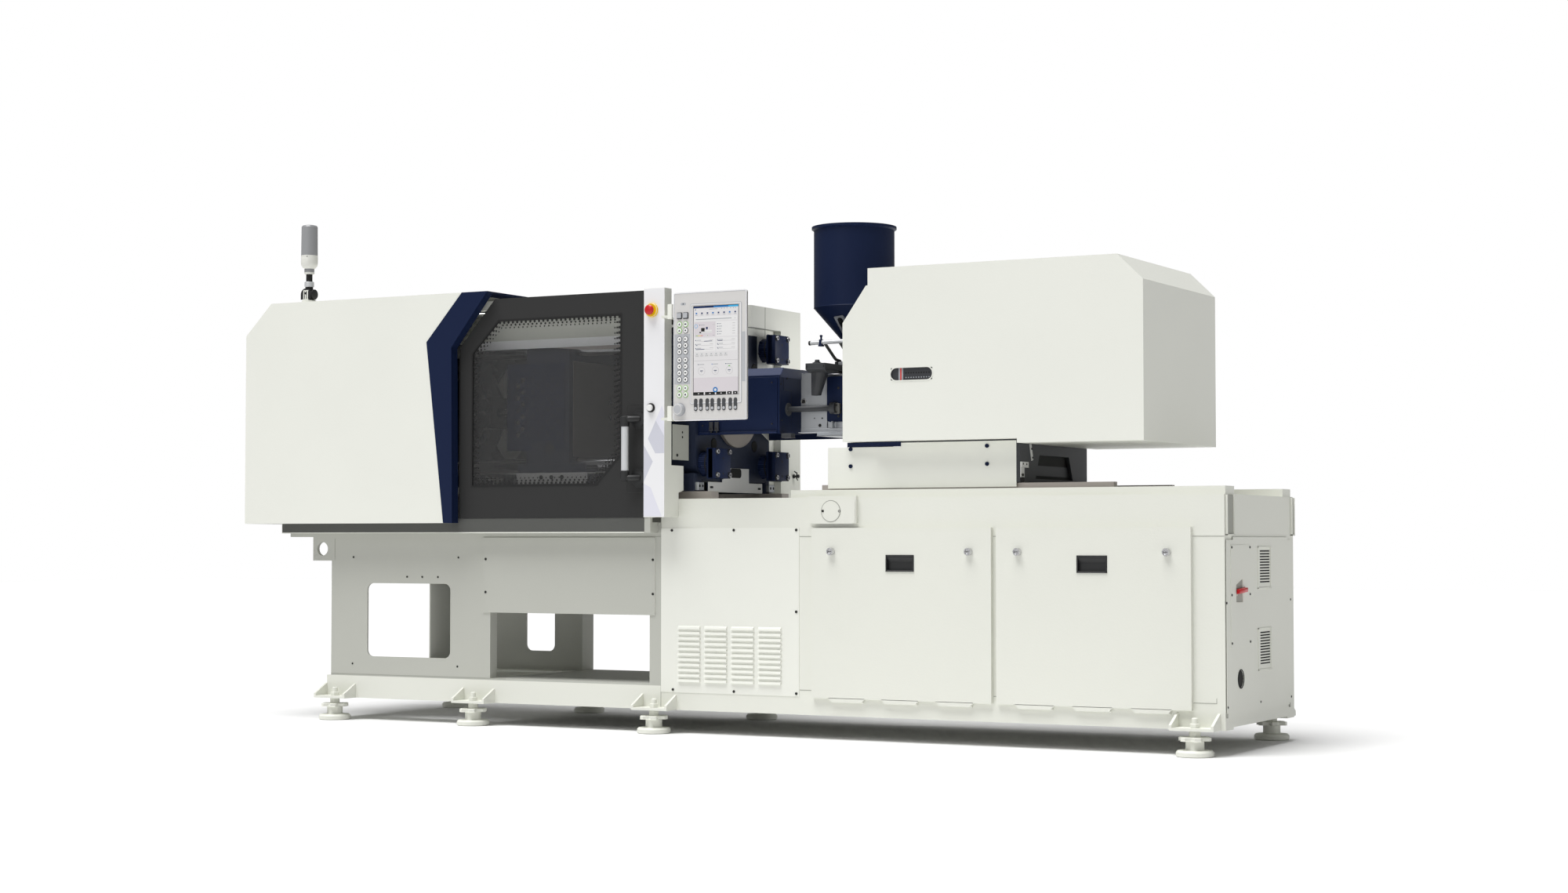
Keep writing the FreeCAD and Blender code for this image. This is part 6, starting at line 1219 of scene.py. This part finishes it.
# -------- signal lamp
LAMP = (-1949, -480)
lamp = Piece()
for finish, sides, profile in ((lamp_lens, 40,
        [(0, 2193.8), (18, 2193), (31, 2190), (35.5, 2184), (36.5, 2056)]),
        (lamp_white, 40, [(36.2, 2057), (37, 2055), (37, 2051), (36.4, 2049), (37, 2047), (37, 2022),
        (35, 2011), (29, 2002), (22, 1997)]), (lamp_lens, 32, [(21.6, 1998), (22, 1996), (22, 1981)]),
        (lamp_white, 32, [(22, 1981.5), (22.6, 1979), (22.4, 1975), (19, 1972.5)]),
        (seal_rubber_and_hole_shade, 28, [(14, 1974), (14, 1936)]),
        (satin_aluminium, 28, [(19, 1939), (21, 1937), (21, 1917), (19, 1915)]),
        (seal_rubber_and_hole_shade, 28, [(17, 1916), (17, 1908), (22, 1902)])):
    lamp.turned("z", LAMP, profile, finish, sides)
arch = [(LAMP[0] + 27 * math.cos(a), 1882 + 25 * math.sin(a))
    for a in [math.pi * i / 14 for i in range(15)]]
lamp.slab("y", arch + [(LAMP[0] - 27, 1861), (LAMP[0] + 22, 1861)], -503, -457, black_nylon, 2.0, 2)
for i in range(4):
    x = LAMP[0] - 20 + 11 * i
    lamp.block((x, x + 4), (-505, -502), (1862, 1896), black_nylon, 0.8)
lamp.turned("x", (-480, 1882), [(21, -1924), (22, -1917), (18, -1914), (8, -1913)], black_nylon, 28)
lamp.pin("y", (LAMP[0] + 14, 2050), 2.5, -511, -514.4, seal_rubber_and_hole_shade, 10)
lamp.done("signal_lamp_stack", "lamp", "lamp_grey", "signal_lamp")

# -------- plates and seams beside the column
beside = Piece()
beside.block((-62, -58), (-466, -341), (1117, 1262), seam_shade, 1.0)
# two dark discs: painted shade in the bracket's holes
for z in (1231.6, 1211.6):
    beside.pin("x", (-391.5, z), 5, -58.4, -57.6, seal_rubber_and_hole_shade, 16)
beside.pin("x", (-434, 1136), 6, -58, -55.5, dark_screw, 16)
beside.block((-3.6, -2), (202.8, 205.2), (1667, 1792), seam_shade)
beside.block((-163, -64), (-524, -522.6), (883, 1816), column_coat, 0.5)
for tint, outline in (("lilac", [(-76, 1336), (-64.5, 1306), (-64.5, 1212), (-105, 1276)]),
        ("line", [(-105, 1276), (-142.5, 1202), (-107, 1142), (-64.5, 1142), (-64.5, 1212)]),
        ("line", [(-162, 1176), (-119, 1109), (-162, 1027)]),
        ("lilac", [(-162, 1020), (-129, 1003), (-76, 886), (-162, 886)])):
    beside.slab("y", outline, -524.15, -523.5, ink["tint_" + tint])
# sheet that closes the gap between the platen's corner and the rear column
beside.slab("x", [(300, 992), (345, 992), (345, 1700), (80, 1700), (80, 1668), (196, 1668), (196, 1500),
                  (233, 1250), (300, 1220)], -37.6, -36, base_coat, 0.5)
beside.slab("y", [(-37, 1060), (-3, 1060), (-3, 1700), (-37, 1700)], 344, 345.4, base_coat)
# drain tap at the foot of the rear column
beside.turned("x", (459, 1069), [(9, -4), (9, 2), (5, 4), (5, 18), (8, 19), (8, 24), (5, 26)],
    black_nylon, 18)
beside.tube([(14, 459, 1062), (14, 459, 1084), (10, 445, 1090)], 3, black_nylon, 10)
beside.tube([(12, 452, 1069), (12, 470, 1052)], 2.6, dark_screw, 10)
beside.done("column_plates", "frame", "column_paint")

# -------- nozzle guard: top bevel, latch and stop block
crest = Piece()
# the top bevels are in the lighter navy: painted light on upper faces
crest.slab("x", [(-298, 1452), (-267, 1491), (298, 1491), (240, 1452)], 347.4, 349, navy_painted_light, 0.3)
crest.slab("x", [(-300.8, 1452), (-267.2, 1492.6), (-264, 1491), (-298, 1451)], -37.6, 347.6, navy_painted_light,
    0.5)
crest.block((354, 400), (-298, -262), (1203, 1222), anthracite, 1.5)
crest.tube([(346, -280, 1212), (356, -280, 1212)], 5, dark_screw, 10)
crest.done("nozzle_guard_crest", "frame", "navy_paint")
latch = Piece()
for x in (24, 50):
    latch.block((x, x + 18), (-318, -309), (1238, 1275), anthracite, 2.0, 2)
    latch.pin("y", (x + 9, 1248), 4, -318, -319.5, dark_screw, 14)
    latch.pin("z", (x + 9, -314), 3, 1230, 1238, dark_screw, 10)
latch.done("flap_latch", "flap", "navy_paint")


# -------- floor
FAR = 30
mesh = bpy.data.meshes.new("floor")
mesh.from_pydata([(-FAR, -FAR, 0), (FAR, -FAR, 0), (FAR, FAR, 0), (-FAR, FAR, 0)], [], [(0, 1, 2, 3)])
floor = linked("floor", mesh)
# plain studio floor: matt near-white, without a gloss that would draw a horizon
floor_paint, _, _ = shader("floor_paint", base_color=linear("#EFEFEF"), roughness=0.7,
    specular_ior_level=0.0)
floor.data.materials.append(floor_paint)
